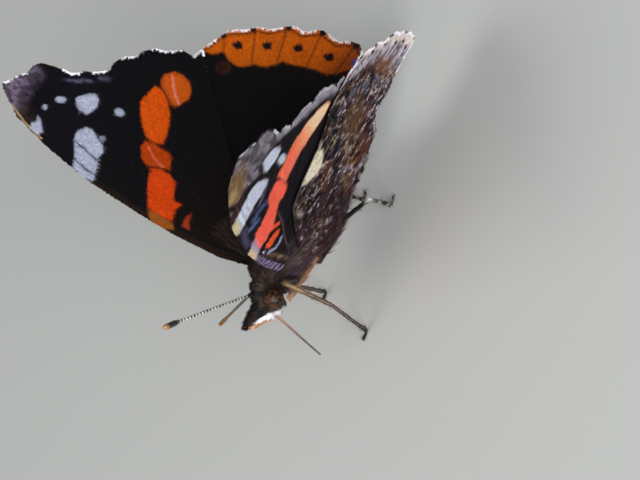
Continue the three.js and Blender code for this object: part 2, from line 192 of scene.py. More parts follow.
# Limbs, in mm
FEELERS = {
    "left": {
        "socket": (3.5, 0.4, 0.45), "shaft_end": (9.85, 6.35, 3.35), "tip": (11.1, 7.8, 4.85),
        "swell": 0.14, "shaded_underside": 0.0,
    },
    "right": {
        "socket": (3.6, 0.15, -0.45), "shaft_end": (5.35, -3.48, -8.62), "tip": (5.82, -4.45, -10.8),
        "swell": 0.07, "shaded_underside": 1.0,
    },
}
FEELER_RING = 0.38
SHAFT_STEPS, CLUB_STEPS = 116, 30
SHAFT_RADIUS = 0.105
SOCKET_RADII = (0.16, 0.17, 0.14)
TONGUE = [(3.6, -2.3, 0), (3.7, -3.05, 0), (3.75, -4.4, 0), (3.85, -6.2, 0), (3.95, -8.55, 0)]
TONGUE_RADIUS = (0.115, 0.07)
TONGUE_HALF = 0.055
LEGS = {
    "mid_left": {
        "hip": (0, -2.3, 0.9), "knee": (1.7, 0.35, 3.8),
        "ankle": (0.7, -4.35, 4.3), "toe": (1.2, 4.29),
    },
    "mid_right": {
        "hip": (0, -2.3, -0.9), "knee": (0.65, -1, -3.15),
        "ankle": (-0.25, -5.25, -3.95), "toe": (-0.7, -4.29),
    },
    "hind_left": {
        "hip": (-2.2, -2.95, 0.75), "knee": (-6, -2.1, 1.55),
        "ankle": (-8.45, -1.65, 4.3), "toe": (-10.58, 2.31),
    },
    "hind_right": {
        "hip": (-2.2, -2.95, -0.75), "knee": (-6, -2.1, -1.55),
        "ankle": (-8.5, -2.6, -3.8), "toe": (-10.4, -2.6),
    },
}
LEG_STEPS = {"coxa": 6, "femur": 14, "tibia": 16, "tarsus": 11}
SPINES_FROM = 20
FORELEG = {"hip": (0.5, -2.2, 1.7), "knee": (1.9, -1.95, 1.85)}
FOOT_LENGTH = 0.75
TOE_HEIGHT = 0.11
COXA_RADIUS = (0.34, 0.28)
FEMUR_RADIUS = (0.26, 0.22)
TIBIA_RADIUS = (0.21, 0.165)
TARSUS_RADIUS = (0.14, 0.1)
CLAW = {"length": 0.2, "spread": 0.1, "arch": 0.05, "tip_height": 0.015, "radius": (0.035, 0.01)}
FORELEG_STEPS = 16
FORELEG_RADIUS = (0.17, 0.11)
FORELEG_TIP_RADIUS = 0.03
LIMB_SIDES = 12
# Bristles of the limbs: how many are tried, their length and width in mm and how far they stand off
LIMB_BRISTLES = {
    "feeler_scales": (1600, 0.07, 0.01, 0.25),
    "leg_bristles": (5200, 0.17, 0.014, 0.5),
    "leg_spines": (420, 0.3, 0.022, 1.1),
    "foreleg_brush": (1500, 0.42, 0.022, 0.45),
}
BRISTLE_CLEARANCE = 0.07
SOLE_HEIGHT = 0.12

# Eyes: bristles tried for each, their size in mm, and the sizes in mm of the dark cells and of the facets.
# Real facets are 0.025 mm wide; drawn at 0.06 mm so that they show
EYE_BRISTLES = 900
EYE_BRISTLE = {"length": 0.13, "width": 0.009, "lift": 1.1, "bend": 0.3}
EYE_CELL = 0.35
EYE_CLOUD = 0.5
EYE_FACET = 0.06

CHITIN_IOR = 1.56

# Side of one tuft's or scale's patch on the unwrap, and the bare rim of the map
PATCH = 0.003
MAP_MARGIN = 0.02

# Camera: the axes of the picture in the body's frame, one pixel in mm at the hinges, the distance to them in
# mm, and how far right and up of the hinges the picture's middle lies, in pixels
IMAGE_RIGHT = (-0.55408, -0.68580, 0.47188)
IMAGE_UP = (-0.81578, 0.56023, -0.14368)
IMAGE_BACK = (0.16583, 0.46456, 0.86988)
PIXEL = 0.0857
CAMERA_DISTANCE = 274.24
HINGE_RIGHT, HINGE_UP = 42.95, 22.03
LENS, SENSOR = 180, 36

# Lamps: the way to each, its size in metres, its power in watts and its colour
LAMP_DISTANCE = 0.5
LAMPS = {
    "key": ((-0.35, -0.5, 1.0), 0.45, 0.8, (1.0, 0.97, 0.93)),
    "side": ((1.0, -0.1, 0.2), 0.4, 4.5, (0.98, 0.98, 1.0)),
}
LAMP_AIM = (0, 0, 0.012)
SKY = {"Color": (0.9, 0.95, 1.0, 1.0), "Strength": 0.3}
FLOOR_HALF_SIDE = 1.5

rng = np.random.default_rng(7)


# Colour

def linear(hex_colour):
    """An sRGB hex colour as linear red, green and blue"""
    parts = np.array([int(hex_colour[i:i + 2], 16) / 255 for i in (1, 3, 5)])
    return np.where(parts <= 0.04045, parts / 12.92, ((parts + 0.055) / 1.055) ** 2.4)


def socket_colour(hex_colour):
    return (*linear(hex_colour), 1.0)


def smooth(low, high, value):
    """0 below low, 1 above high and an even rise between them"""
    t = np.clip((value - low) / (high - low), 0, 1)
    return t * t * (3 - 2 * t)


def lattice(x, y, seed):
    """A scattered value from 0 to 1 for each whole x and y"""
    h = np.sin(x * 127.1 + y * 311.7 + seed * 74.7) * 43758.5453
    return h - np.floor(h)


def mottle(x, y, seed):
    """Smooth irregular light and dark from 0 to 1, one patch for each unit of x and y"""
    ix, iy = np.floor(x), np.floor(y)
    u, v = smooth(0, 1, x - ix), smooth(0, 1, y - iy)
    low = lattice(ix, iy, seed) * (1 - u) + lattice(ix + 1, iy, seed) * u
    high = lattice(ix, iy + 1, seed) * (1 - u) + lattice(ix + 1, iy + 1, seed) * u
    return low * (1 - v) + high * v


def paint(colour, cover, hex_colour):
    """The colour with another laid over it, as thickly as cover says"""
    cover = np.clip(cover, 0, 1)[:, None]
    return colour * (1 - cover) + linear(hex_colour) * cover


def off_line(s, f, line):
    """Distance of each place from a line of points"""
    nearest = np.full(len(s), FAR)
    for (x0, y0), (x1, y1) in zip(line[:-1], line[1:]):
        dx, dy = x1 - x0, y1 - y0
        t = np.clip(((s - x0) * dx + (f - y0) * dy) / (dx * dx + dy * dy + TINY), 0, 1)
        nearest = np.minimum(nearest, np.hypot(s - x0 - t * dx, f - y0 - t * dy))
    return nearest


def inside(s, f, outline, soft=0.12):
    """Cover of a mark with a closed outline: 1 inside it, 0 outside, soft at its edge"""
    closed = [*outline, outline[0]]
    within = np.zeros(len(s), bool)
    for (x0, y0), (x1, y1) in zip(closed[:-1], closed[1:]):
        if y0 != y1:
            within ^= ((y0 > f) != (y1 > f)) & (s < x0 + (f - y0) * (x1 - x0) / (y1 - y0))
    nearest = off_line(s, f, closed)
    return smooth(-soft, soft, np.where(within, nearest, -nearest))


def near_line(s, f, line, width, soft=0.05):
    """Cover of a stroke along a line of points"""
    return 1 - smooth(width / 2 - soft, width / 2 + soft, off_line(s, f, line))


def spot(s, f, centre, width, height, turn=0.0, soft=0.25):
    """Cover of an oval mark"""
    x, y = s - centre[0], f - centre[1]
    u = (x * math.cos(turn) + y * math.sin(turn)) / (width / 2)
    v = (y * math.cos(turn) - x * math.sin(turn)) / (height / 2)
    return 1 - smooth(1 - soft, 1 + soft, np.hypot(u, v))


class Markings:
    """Colours of many places, given as (s, f) in mm, with marks laid one over another on a ground"""

    def __init__(self, s, f, ground):
        self.s, self.f = s, f
        self.colour = np.tile(linear(ground), (len(s), 1))

    def lay(self, cover, colour):
        """A colour over the whole, as thickly as cover says at each place"""
        self.colour = paint(self.colour, cover, colour)

    def patch(self, outline, soft, colour, by=1):
        """A mark with a closed outline; by thins it, as in the next two"""
        self.lay(inside(self.s, self.f, outline, soft) * by, colour)

    def stroke(self, line, width, soft, colour, by=1):
        self.lay(near_line(self.s, self.f, line, width, soft) * by, colour)

    def oval(self, centre, width, height, colour, by=1, turn=0.0, soft=0.25):
        self.lay(spot(self.s, self.f, centre, width, height, turn, soft) * by, colour)


# Place

def raw_standing(a, b, l):
    """As standing, before the shift that sets the model's origin"""
    a, b, l = np.broadcast_arrays(np.asarray(a, float), np.asarray(b, float), np.asarray(l, float))
    y = -a * math.cos(BODY_PITCH) + b * math.sin(BODY_PITCH)
    z = HINGE_HEIGHT + a * math.sin(BODY_PITCH) + b * math.cos(BODY_PITCH)
    return np.stack([l, y, z], -1) * MM


eye_low, eye_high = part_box("eye_left")
SHIFT = np.array((eye_low + eye_high) / 2) - raw_standing(EYE["forward"], EYE["up"], EYE["side"])
FORWARD = np.array([0, -math.cos(BODY_PITCH), math.sin(BODY_PITCH)])
UPWARD = np.array([0, math.sin(BODY_PITCH), math.cos(BODY_PITCH)])
LEFTWARD = np.array([1.0, 0, 0])


def standing(a, b, l):
    """Place in the model's frame, in metres, of points given in mm in the body's frame"""
    return raw_standing(a, b, l) + SHIFT


def body_place(points):
    """The forward, upward and leftward distances in mm of points in the model's frame"""
    q = (points - SHIFT) / MM - np.array([0, 0, HINGE_HEIGHT])
    return q @ FORWARD, q @ UPWARD, q @ LEFTWARD


def unit(v):
    return v / np.maximum(np.linalg.norm(v, axis=-1, keepdims=True), TINY)


def laid(lie, normal):
    """The direction nearest to each lie that runs along the surface"""
    return unit(lie - normal * np.sum(lie * normal, 1, keepdims=True))


def scatter(spread, *shape):
    """Random differences about 0, in an array of a shape"""
    return rng.normal(0, spread, shape)


def sizes(count, spread, low, high):
    """Random sizes about 1, kept between low and high"""
    return np.clip(1 + scatter(spread, count), low, high)


# Pieces

def put(name, data):
    """A new object in the scene"""
    thing = bpy.data.objects.new(name, data)
    bpy.context.scene.collection.objects.link(thing)
    return thing


def show(name, mesh, material, replaces=(), rounded=True):
    """Puts a finished mesh in the scene as one piece of the butterfly"""
    mesh.name = name
    piece = put(name, mesh)
    mesh.materials.append(material)
    if rounded:
        mesh.shade_smooth()
    else:
        mesh.shade_flat()
    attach(piece, "root")
    if replaces:
        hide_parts(*replaces)
    return piece


def mesh_of(bm):
    """The finished mesh of a form, its faces turned outward"""
    bmesh.ops.recalc_face_normals(bm, faces=bm.faces)
    mesh = bpy.data.meshes.new("form")
    bm.to_mesh(mesh)
    bm.free()
    return mesh


def places_of(mesh):
    co = np.zeros(len(mesh.vertices) * 3)
    mesh.vertices.foreach_get("co", co)
    return co.reshape(-1, 3)


def move_to(mesh, points):
    mesh.vertices.foreach_set("co", np.ascontiguousarray(points, np.float32).ravel())
    mesh.update()


def mark(mesh, colours):
    """Stores one colour for each vertex as the mesh's markings"""
    layer = mesh.color_attributes.new("markings", "FLOAT_COLOR", "POINT")
    rgba = np.ones((len(colours), 4), np.float32)
    rgba[:, :3] = np.clip(colours, 0, 1)
    layer.data.foreach_set("color", rgba.ravel())


def pattern_of(bm):
    """Vertices and triangles of a small form that will be repeated"""
    bmesh.ops.recalc_face_normals(bm, faces=bm.faces)
    bmesh.ops.triangulate(bm, faces=bm.faces)
    bm.verts.ensure_lookup_table()
    verts = np.array([v.co for v in bm.verts])
    faces = np.array([[v.index for v in f.verts] for f in bm.faces])
    bm.free()
    return verts, faces


def hair_pattern():
    """A tapered closed tuft, one unit long, of unit radius at its root"""
    bm = bmesh.new()
    made = bmesh.ops.create_cone(bm, cap_ends=True, segments=3, radius1=1, radius2=0.75, depth=0.5)
    bmesh.ops.rotate(bm, verts=made["verts"], matrix=Matrix.Rotation(-math.pi / 2, 3, "X"))
    bmesh.ops.translate(bm, verts=made["verts"], vec=(0, 0.25, 0))
    outer = max(bm.faces, key=lambda f: f.calc_center_median().y)
    tip = bmesh.ops.poke(bm, faces=[outer])["verts"]
    bmesh.ops.translate(bm, verts=tip, vec=(0, 0.5, 0))
    return pattern_of(bm)


def scale_pattern():
    """A closed wing scale, one unit long and wide: narrow root, three-toothed tip, gently arched"""
    bm = bmesh.new()
    bmesh.ops.create_circle(bm, cap_ends=True, segments=6, radius=0.5)
    outline = [
        (0, 0, -0.02), (0.42, 0.35, -0.1), (0.5, 0.93, -0.1), (0, 1.0, 0.06), (-0.5, 0.93, -0.1),
        (-0.42, 0.35, -0.1),
    ]
    for vert, place in zip(bm.verts, outline):
        vert.co = place
    top = bm.faces[:][0]
    under = bmesh.ops.duplicate(bm, geom=[top])["geom"]
    bmesh.ops.reverse_faces(bm, faces=[g for g in under if isinstance(g, bmesh.types.BMFace)])
    bmesh.ops.triangulate(bm, faces=[top], ngon_method="BEAUTY")
    crest = [f for f in bm.faces if len(f.verts) > 3]
    bmesh.ops.poke(bm, faces=crest)
    bmesh.ops.remove_doubles(bm, verts=bm.verts, dist=WELD)
    return pattern_of(bm)


def repeat(name, pattern, roots, along, normal, width, length, lift, bend, colours, spots, material, slot,
           shade=0.55, rounded=False):
    """One mesh with the pattern laid at every root; spots is each one's place on the unwrap, and shade is how
    dark the painted shade at each copy's root is
    """
    verts, faces = pattern
    n, k = len(roots), len(verts)
    side = unit(np.cross(along, normal))
    wide, long, raised = (np.broadcast_to(size, n)[:, None, None] for size in (width, length, lift))
    x, y, z = (verts[None, :, i, None] for i in range(3))
    points = (
        roots[:, None, :]
        + side[:, None, :] * (x * wide)
        + along[:, None, :] * (y * long)
        + normal[:, None, :] * (z * wide + raised * (y - bend * y * y) * long)
    ).reshape(-1, 3)
    triangles = (faces[None, :, :] + (np.arange(n) * k)[:, None, None]).reshape(-1, 3)
    mesh = bpy.data.meshes.new(name)
    mesh.vertices.add(len(points))
    mesh.vertices.foreach_set("co", points.astype(np.float32).ravel())
    mesh.loops.add(triangles.size)
    mesh.loops.foreach_set("vertex_index", triangles.astype(np.int32).ravel())
    mesh.polygons.add(len(triangles))
    mesh.polygons.foreach_set("loop_start", np.arange(0, triangles.size, 3, dtype=np.int32))
    mesh.update(calc_edges=True)
    # Painted shade: each copy is painted darker towards its root, as if shaded where it stands close among the
    # others
    tone = shade + (1 - shade) * smooth(0, 0.8, y)
    mark(mesh, (colours[:, None, :] * tone).reshape(-1, 3))
    # Each copy is a small patch on the unwrap, opened out so that none of its faces is edge-on
    spread = verts[:, :2] + verts[:, 2:3] * np.array([[0.45, 0.3]])
    spread = (spread - (spread.max(0) + spread.min(0)) / 2) / np.ptp(spread, axis=0).max()
    own = MAP_MARGIN + (1 - 2 * MAP_MARGIN) * (spots - spots.min(0)) / np.ptp(spots, axis=0)
    uv = (own[:, None, :] + spread[None, :, :] * PATCH).reshape(-1, 2)
    layer = mesh.uv_layers.new(name="OFBake")
    layer.data.foreach_set("uv", uv[triangles.ravel()].astype(np.float32).ravel())
    return show(name, mesh, material, rounded=rounded)


# Materials

def add_node(tree, kind, settings=None, links=None):
    """One shader node: settings go to its sockets or its own properties, links join its sockets"""
    node = tree.nodes.new(kind)
    for name, value in (settings or {}).items():
        if isinstance(name, int) or name in node.inputs:
            node.inputs[name].default_value = value
        else:
            setattr(node, name, value)
    for name, source in (links or {}).items():
        tree.links.new(source, node.inputs[name])
    return node


def new_material(name):
    material = bpy.data.materials.new(name)
    material.use_nodes = True
    material.node_tree.nodes.clear()
    return material, material.node_tree


def finish_material(tree, shader):
    add_node(tree, "ShaderNodeOutputMaterial", links={"Surface": shader.outputs["BSDF"]})


def marked_material(name, grain_mm, grain_depth, settings, bump=0.0):
    """A finish that takes its colour from the piece's markings, broken by a fine grain; bump is in mm"""
    material, tree = new_material(name)
    markings = add_node(tree, "ShaderNodeAttribute", {"attribute_name": "markings"})
    place = {"Vector": add_node(tree, "ShaderNodeTexCoord").outputs["Object"]}
    grain_size = {"Scale": 1 / (grain_mm * MM), "Detail": 3.0, "Roughness": 0.6}
    grain = add_node(tree, "ShaderNodeTexNoise", grain_size, place)
    level = add_node(
        tree, "ShaderNodeMapRange",
        {"From Min": 0.3, "From Max": 0.7, "To Min": 1 - grain_depth, "To Max": 1 + grain_depth},
        {"Value": grain.outputs["Fac"]},
    )
    toned = add_node(
        tree, "ShaderNodeVectorMath", {"operation": "SCALE"},
        {0: markings.outputs["Color"], "Scale": level.outputs["Result"]},
    )
    settings = {"IOR": CHITIN_IOR, **settings}
    shader = add_node(tree, "ShaderNodeBsdfPrincipled", settings, {"Base Color": toned.outputs["Vector"]})
    if bump:
        rise = {"Strength": 1.0, "Distance": bump * MM}
        raised = add_node(tree, "ShaderNodeBump", rise, {"Height": grain.outputs["Fac"]})
        tree.links.new(raised.outputs["Normal"], shader.inputs["Normal"])
    finish_material(tree, shader)
    return material


# Wing scales are thin plates of ridged chitin: dull, with a faint silky gloss off the ridges
wing_scales = marked_material(
    "ridged_chitin_scales", 0.05, 0.16,
    {"Roughness": 0.5, "Specular IOR Level": 0.05, "Sheen Weight": 0.01, "Sheen Roughness": 0.4,
     "Sheen Tint": socket_colour("#a8b4e0")},
)
# The membrane under the scales is thin stained chitin, smoother than the scales
wing_membrane = marked_material(
    "chitin_membrane", 0.12, 0.2, {"Roughness": 0.6, "Specular IOR Level": 0.1}, bump=0.01,
)
# Body hair is fine matt bristle of chitin with a soft sheen where it catches the light
hair = marked_material(
    "chitin_hair", 0.09, 0.22,
    {"Roughness": 0.62, "Specular IOR Level": 0.15, "Sheen Weight": 0.04, "Sheen Roughness": 0.5,
     "Sheen Tint": socket_colour("#c8b8b0")},
)
# The skin is dark dull cuticle, pitted where the hairs stand
skin_cuticle = marked_material(
    "dull_cuticle", 0.08, 0.3, {"Roughness": 0.7, "Specular IOR Level": 0.3}, bump=0.03,
)
# Legs and feelers are hard cuticle under flat scales: a low gloss broken by a fine grain
limb_cuticle = marked_material(
    "scaled_limb_cuticle", 0.05, 0.25,
    {"Roughness": 0.42, "Specular IOR Level": 0.5}, bump=0.012,
)
# The tongue is bare, smooth cuticle with fine cross rings
tongue_cuticle = marked_material(
    "ringed_tongue_cuticle", 0.06, 0.15,
    {"Roughness": 0.35, "Specular IOR Level": 0.5}, bump=0.008,
)


def eye_lens_material():
    """Faceted eye lenses: clear glossy cuticle over brown pigment with darker cells that seem to move"""
    material, tree = new_material("faceted_eye_lens")
    place = {"Vector": add_node(tree, "ShaderNodeTexCoord").outputs["Object"]}
    cells = add_node(tree, "ShaderNodeTexVoronoi", {"Scale": 1 / (EYE_CELL * MM), "Randomness": 0.7}, place)
    cloud = add_node(tree, "ShaderNodeTexNoise", {"Scale": 1 / (EYE_CLOUD * MM), "Detail": 2.0}, place)
    dark = add_node(
        tree, "ShaderNodeMapRange", {"From Min": 0.4, "From Max": 0.56}, {"Value": cells.outputs["Distance"]},
    )
    ground = add_node(
        tree, "ShaderNodeMix",
        {"data_type": "RGBA", 6: socket_colour("#22130a"), 7: socket_colour("#56351e")},
        {0: cloud.outputs["Fac"]},
    )
    spotted = add_node(
        tree, "ShaderNodeMix", {"data_type": "RGBA", 6: socket_colour("#120804")},
        {0: dark.outputs["Result"], 7: ground.outputs[2]},
    )
    facets = add_node(tree, "ShaderNodeTexVoronoi", {"Scale": 1 / (EYE_FACET * MM), "Randomness": 0.15}, place)
    raised = add_node(
        tree, "ShaderNodeBump", {"Strength": 0.8, "Distance": 0.02 * MM, "invert": True},
        {"Height": facets.outputs["Distance"]},
    )
    shader = add_node(
        tree, "ShaderNodeBsdfPrincipled",
        {"Roughness": 0.3, "IOR": 1.5, "Specular IOR Level": 0.2, "Coat Weight": 0.1, "Coat Roughness": 0.15},
        {"Base Color": spotted.outputs[2], "Normal": raised.outputs["Normal"]},
    )
    finish_material(tree, shader)
    return material


eye_lens = eye_lens_material()


# Wings

def edge_at(points, span):
    """Forward place of a wing's edge at each span"""
    pts = np.array(points, float)
    return np.interp(span, pts[:, 0], pts[:, 1])


def wing_place(pose, s, f, out):
    """Places of wing points; out is the distance out of the upper side"""
    s1, f1 = np.maximum(s, 0) / CAMBER_SPAN, f / CAMBER_CHORD
    c0, c1, c2, c3 = pose["camber"]
    raised = out + CAMBER_STEP * (c0 * s1 * s1 + c1 * s1 * f1 + c2 * f1 * f1 * s1 + c3 * s1 ** 3)
    a = f * math.cos(pose["sweep"]) + s * math.sin(pose["sweep"]) + pose["shift"]
    reach = s * math.cos(pose["sweep"]) - f * math.sin(pose["sweep"]) * np.clip(s, 0, 1)
    cos, sin = math.cos(pose["angle"]), math.sin(pose["angle"])
    open_l = HINGE_HALF_SPACING + reach * cos - raised * sin
    open_b = reach * sin + raised * cos
    fold_l = HINGE_HALF_SPACING - s * FOLD_SPREAD - raised * sin
    fold_b = s + raised * cos
    folded = s < 0
    return standing(a, np.where(folded, fold_b, open_b), pose["side"] * np.where(folded, fold_l, open_l))


def vein_height(s, f, veins):
    """How far the veins raise the membrane at each place"""
    height = np.zeros(len(s))
    for line in veins:
        height = np.maximum(height, np.exp(-(off_line(s, f, line) / VEIN_WIDTH) ** 2))
    return height * VEIN_HEIGHT


def forewing_top_colour(s, f):
    """Upper side of the forewing: black, with the red band and the white marks of the tip"""
    c = Markings(s, f, "#08070a")
    patch = mottle(s * 0.5, f * 0.5, 3)
    c.lay((1 - smooth(6, 15, s)) * (0.4 + 0.4 * patch), "#150d09")
    # Painted sheen: bluish patches over the black towards the tip stand in for the blue gloss of the black
    # scales
    c.lay(smooth(17, 24, s) * patch * 0.4, "#15131f")
    c.stroke([(0, 1.5), (9, 2.4), (17, 2.3)], 0.3, 0.3, "#33200f", 0.55)
    brown = spot(s, f, (27.5, -0.1), 5.5, 1.8, -0.3, 0.6) * mottle(s * 2, f * 2.5, 5)
    c.lay(brown * 0.8, "#3a2a26")
    lavender = smooth(26.4, 28.6, s) * smooth(-4.6, -3.6, f)
    lavender = lavender * (0.35 + 0.65 * smooth(0.35, 0.7, mottle(s * 2.4, f * 3.4, 8)))
    c.lay(lavender * 0.75, "#7c6c84")
    for centre, w, h in (((24.4, -4.6), 1.8, 0.34), ((21.9, -6.2), 1.2, 0.5), ((23.2, -5.25), 1.6, 0.3)):
        c.oval(centre, w, h, "#5a5872", mottle(s * 3, f * 4, 11) * 0.9, turn=0.35, soft=0.6)
    c.stroke([(23.6, 1.28), (26, 0.76), (28, 0.0)], 0.13, 0.08, "#a88c64")
    band = {
        "#8c4c15": [(8.3, 2.1), (9, 2.55), (10.3, 2.6), (11, 2.15), (11.3, 1.8), (10.2, 1.62), (8.6, 1.75)],
        "#c83e05": [
            (8.85, 1.6), (9.2, 0.6), (9.0, -0.1), (9.8, 0), (10.2, -0.7), (10.6, -1.4), (11.5, -1.8),
            (12.4, -1.8), (13.3, -1.35), (12.9, -0.5), (12.3, 0.5), (11.8, 1.1), (11.4, 1.7), (10.4, 1.72),
        ],
        "#aa3b03": [
            (11.7, -2.1), (12.2, -3.0), (12.7, -3.35), (13.8, -3.35), (14.8, -3.6), (15.2, -3.1),
            (15.2, -2.6), (14.6, -1.8), (13.9, -1.5), (13.1, -1.5), (12.5, -1.9),
        ],
        "#c84c04": [
            (13.7, -3.8), (13.8, -4.6), (14.3, -5.7), (14.9, -6.6), (15.7, -7.3), (16.6, -7.9), (17.4, -7.9),
            (17.6, -7.0), (17.7, -6.0), (17.2, -5.3), (16.3, -4.3), (15.4, -3.6), (14.3, -3.5),
        ],
        "#ba4f0d": [
            (14.6, -7.3), (14.1, -8.4), (14.3, -9.1), (14.9, -9.7), (15.8, -9.95), (16.7, -9.85),
            (17.3, -9.2), (17.3, -8.6), (16.7, -7.95), (15.9, -7.4), (15.2, -7.1),
        ],
        "#983213": [(7.1, 1.45), (7.85, 1.5), (8.05, 0.7), (7.75, 0.15), (7.5, 0.9)],
    }
    for colour, outline in band.items():
        c.patch(outline, 0.13, colour)
    c.stroke([(14.6, -7.6), (15.6, -8.3), (16.6, -9.4)], 0.22, 0.12, "#e8907a", 0.55)
    c.stroke([(12.3, -2.0), (13.4, -2.3), (14.6, -2.9)], 0.14, 0.08, "#e0705a", 0.5)
    dark_lines = ([(12.0, -2.05), (12.9, -1.75), (13.6, -1.3)], [(13.3, -3.5), (14.4, -3.5), (15.3, -3.25)],
                  [(14.7, -6.85), (15.9, -7.6), (17.0, -8.15)])
    for line in dark_lines:
        c.stroke(line, 0.13, 0.07, "#3a1408", 0.8)
    white = {
        "bar": [
            (17.1, 2.2), (18.2, 2.4), (19.4, 2.05), (19.9, 1.2), (20.4, 0.5), (21.0, -0.3), (21.1, -0.9),
            (20.6, -1.6), (20.0, -1.7), (19.0, -1.25), (18.3, -0.95), (17.85, -0.5), (17.95, 0.2),
            (17.5, 1.0),
        ],
        "spot": [
            (21.1, -2.9), (21.4, -2.6), (22.1, -2.6), (22.7, -2.9), (23.1, -3.4), (22.7, -3.9), (22.3, -4.3),
            (21.7, -4.6), (21.15, -4.3), (20.9, -3.7),
        ],
        "patch": [
            (24.1, 1.15), (25.1, 1.05), (25.3, 0.5), (24.95, 0.2), (25.25, -0.35), (24.7, -0.1), (24.2, 0.45),
            (23.85, 0.7),
        ],
    }
    for outline in white.values():
        c.patch(outline, 0.12, "#a6abbf", 0.8 + 0.2 * mottle(s * 5, f * 5, 15))
    c.oval((18.7, -1.5), 0.6, 0.4, "#8e92a8", 0.7)
    c.oval((24.25, -2.6), 1.05, 0.6, "#969aac", turn=0.35)
    c.oval((25.15, -1.3), 0.55, 0.5, "#8e92a4")
    c.oval((18.8, -4.25), 0.98, 0.68, "#959aae")
    for line in ([(17.2, 1.65), (18.5, 1.6), (19.9, 1.35)], [(18.0, 0.45), (19.2, 0.2), (20.6, 0.0)]):
        c.stroke(line, 0.12, 0.06, "#14121a", 0.9)
    return c.colour


def hindwing_top_colour(s, f):
    """Upper side of the hindwing: velvety brown-black with an orange border set with black spots"""
    c = Markings(s, f, "#080707")
    c.lay((1 - smooth(3, 11, s)) * mottle(s * 0.6, f * 0.4, 21) * 0.7, "#1a100b")
    c.oval((13.2, -12.4), 1.4, 1.2, "#4a2412", mottle(s * 3, f * 2, 4) * 0.7)
    border = [
        (3.1, -19.2), (3.4, -18.2), (4.5, -16.9), (5, -16.6), (6, -16.45), (7, -16.2), (8, -15.8), (9, -15.6),
        (9.3, -15.1), (10, -14.4), (11, -14.1), (11.8, -13.35), (12.2, -13.2), (13, -13.2), (13.9, -13.6),
        (14.2, -13.6), (14.8, -13.0), (15.2, -12.9), (16.2, -12.7), (16.2, -15.5), (13.2, -17.6),
        (10.2, -19.6), (7, -20.6), (3, -21),
    ]
    cover = inside(s, f, border, 0.16)
    shade = mottle(s * 1.3, f * 1.3, 31)
    c.lay(cover, "#c45a03")
    c.lay(cover * (1 - shade) * 0.35, "#9c4305")
    c.lay(cover * (1 - smooth(3.5, 6.4, s)) * 0.75, "#5a2410")
    for line in HINDWING_VEINS[:6]:
        c.lay(cover * near_line(s, f, line, 0.13, 0.08) * 0.65, "#4a1e0a")
    margin = [(p[0] - 0.05, p[1] + 0.42) for p in HINDWING_MARGIN[6:]]
    c.stroke(margin, 0.19, 0.1, "#1a0c08", 0.8)
    for centre, w, h in (((5.7, -18.0), 1.2, 0.85), ((8.5, -17.3), 1.0, 0.85), ((11.0, -16.1), 1.05, 0.85),
                         ((13.3, -14.8), 1.15, 0.8)):
        x, y = centre
        arrow = [
            (x - w / 2, y + 0.05), (x - 0.05, y + h / 2), (x + w / 2, y + 0.15), (x + 0.1, y - h / 2),
            (x - 0.2, y - h / 2),
        ]
        c.patch(arrow, 0.1, "#100a0a")
    for x, y in ((4.2, -20.1), (7.4, -19.6), (10.35, -18.5), (12.95, -16.75), (14.95, -14.95)):
        c.oval((x, y), 0.62, 0.5, "#120b0b")
    c.oval((3.35, -18.75), 0.8, 0.7, "#3a3a78")
    c.lay((1 - smooth(-1.5, 2.6, s)) * 0.7, "#3a2a20")
    return c.colour


def bark(s, f, seed):
    """Marbled dark brown, bronze and purple-grey with pale flecks, as bark"""
    warp = mottle(s * 0.9, f * 0.9, seed) * 2.2
    broad = mottle(s * 1.1 + warp, f * 0.9, seed + 1)
    streaks = mottle(s * 3.4 + warp, f * 2.2 + warp, seed + 2)
    fine = mottle(s * 6.0, f * 4.6 + warp, seed + 3)
    c = Markings(s, f, "#1e1617")
    c.lay(smooth(0.3, 0.65, broad) * 0.75, "#40291b")
    c.lay(smooth(0.5, 0.85, mottle(s * 0.6, f * 0.7, seed + 5)) * 0.65, "#623c24")
    c.lay(smooth(0.52, 0.74, streaks) * 0.65, "#6a5c6c")
    c.lay(smooth(0.6, 0.75, streaks * 0.35 + fine * 0.65) * 0.85, "#c8bec6")
    flecked = smooth(0.5, 0.75, mottle(s * 0.7 + 3, f * 0.6, seed + 7))
    c.lay(smooth(0.64, 0.78, mottle(s * 5.0 + 5, f * 4.2, seed + 6)) * 0.6 * flecked, "#b89a6a")
    c.lay(smooth(0.56, 0.72, mottle(s * 3.0 + 7, f * 2.0, seed + 4)) * 0.92, "#060406")
    c.lay(smooth(0.6, 0.75, mottle(s * 1.3 + 2, f * 1.3 + 4, seed + 8)) * 0.75, "#0c090c")
    return c


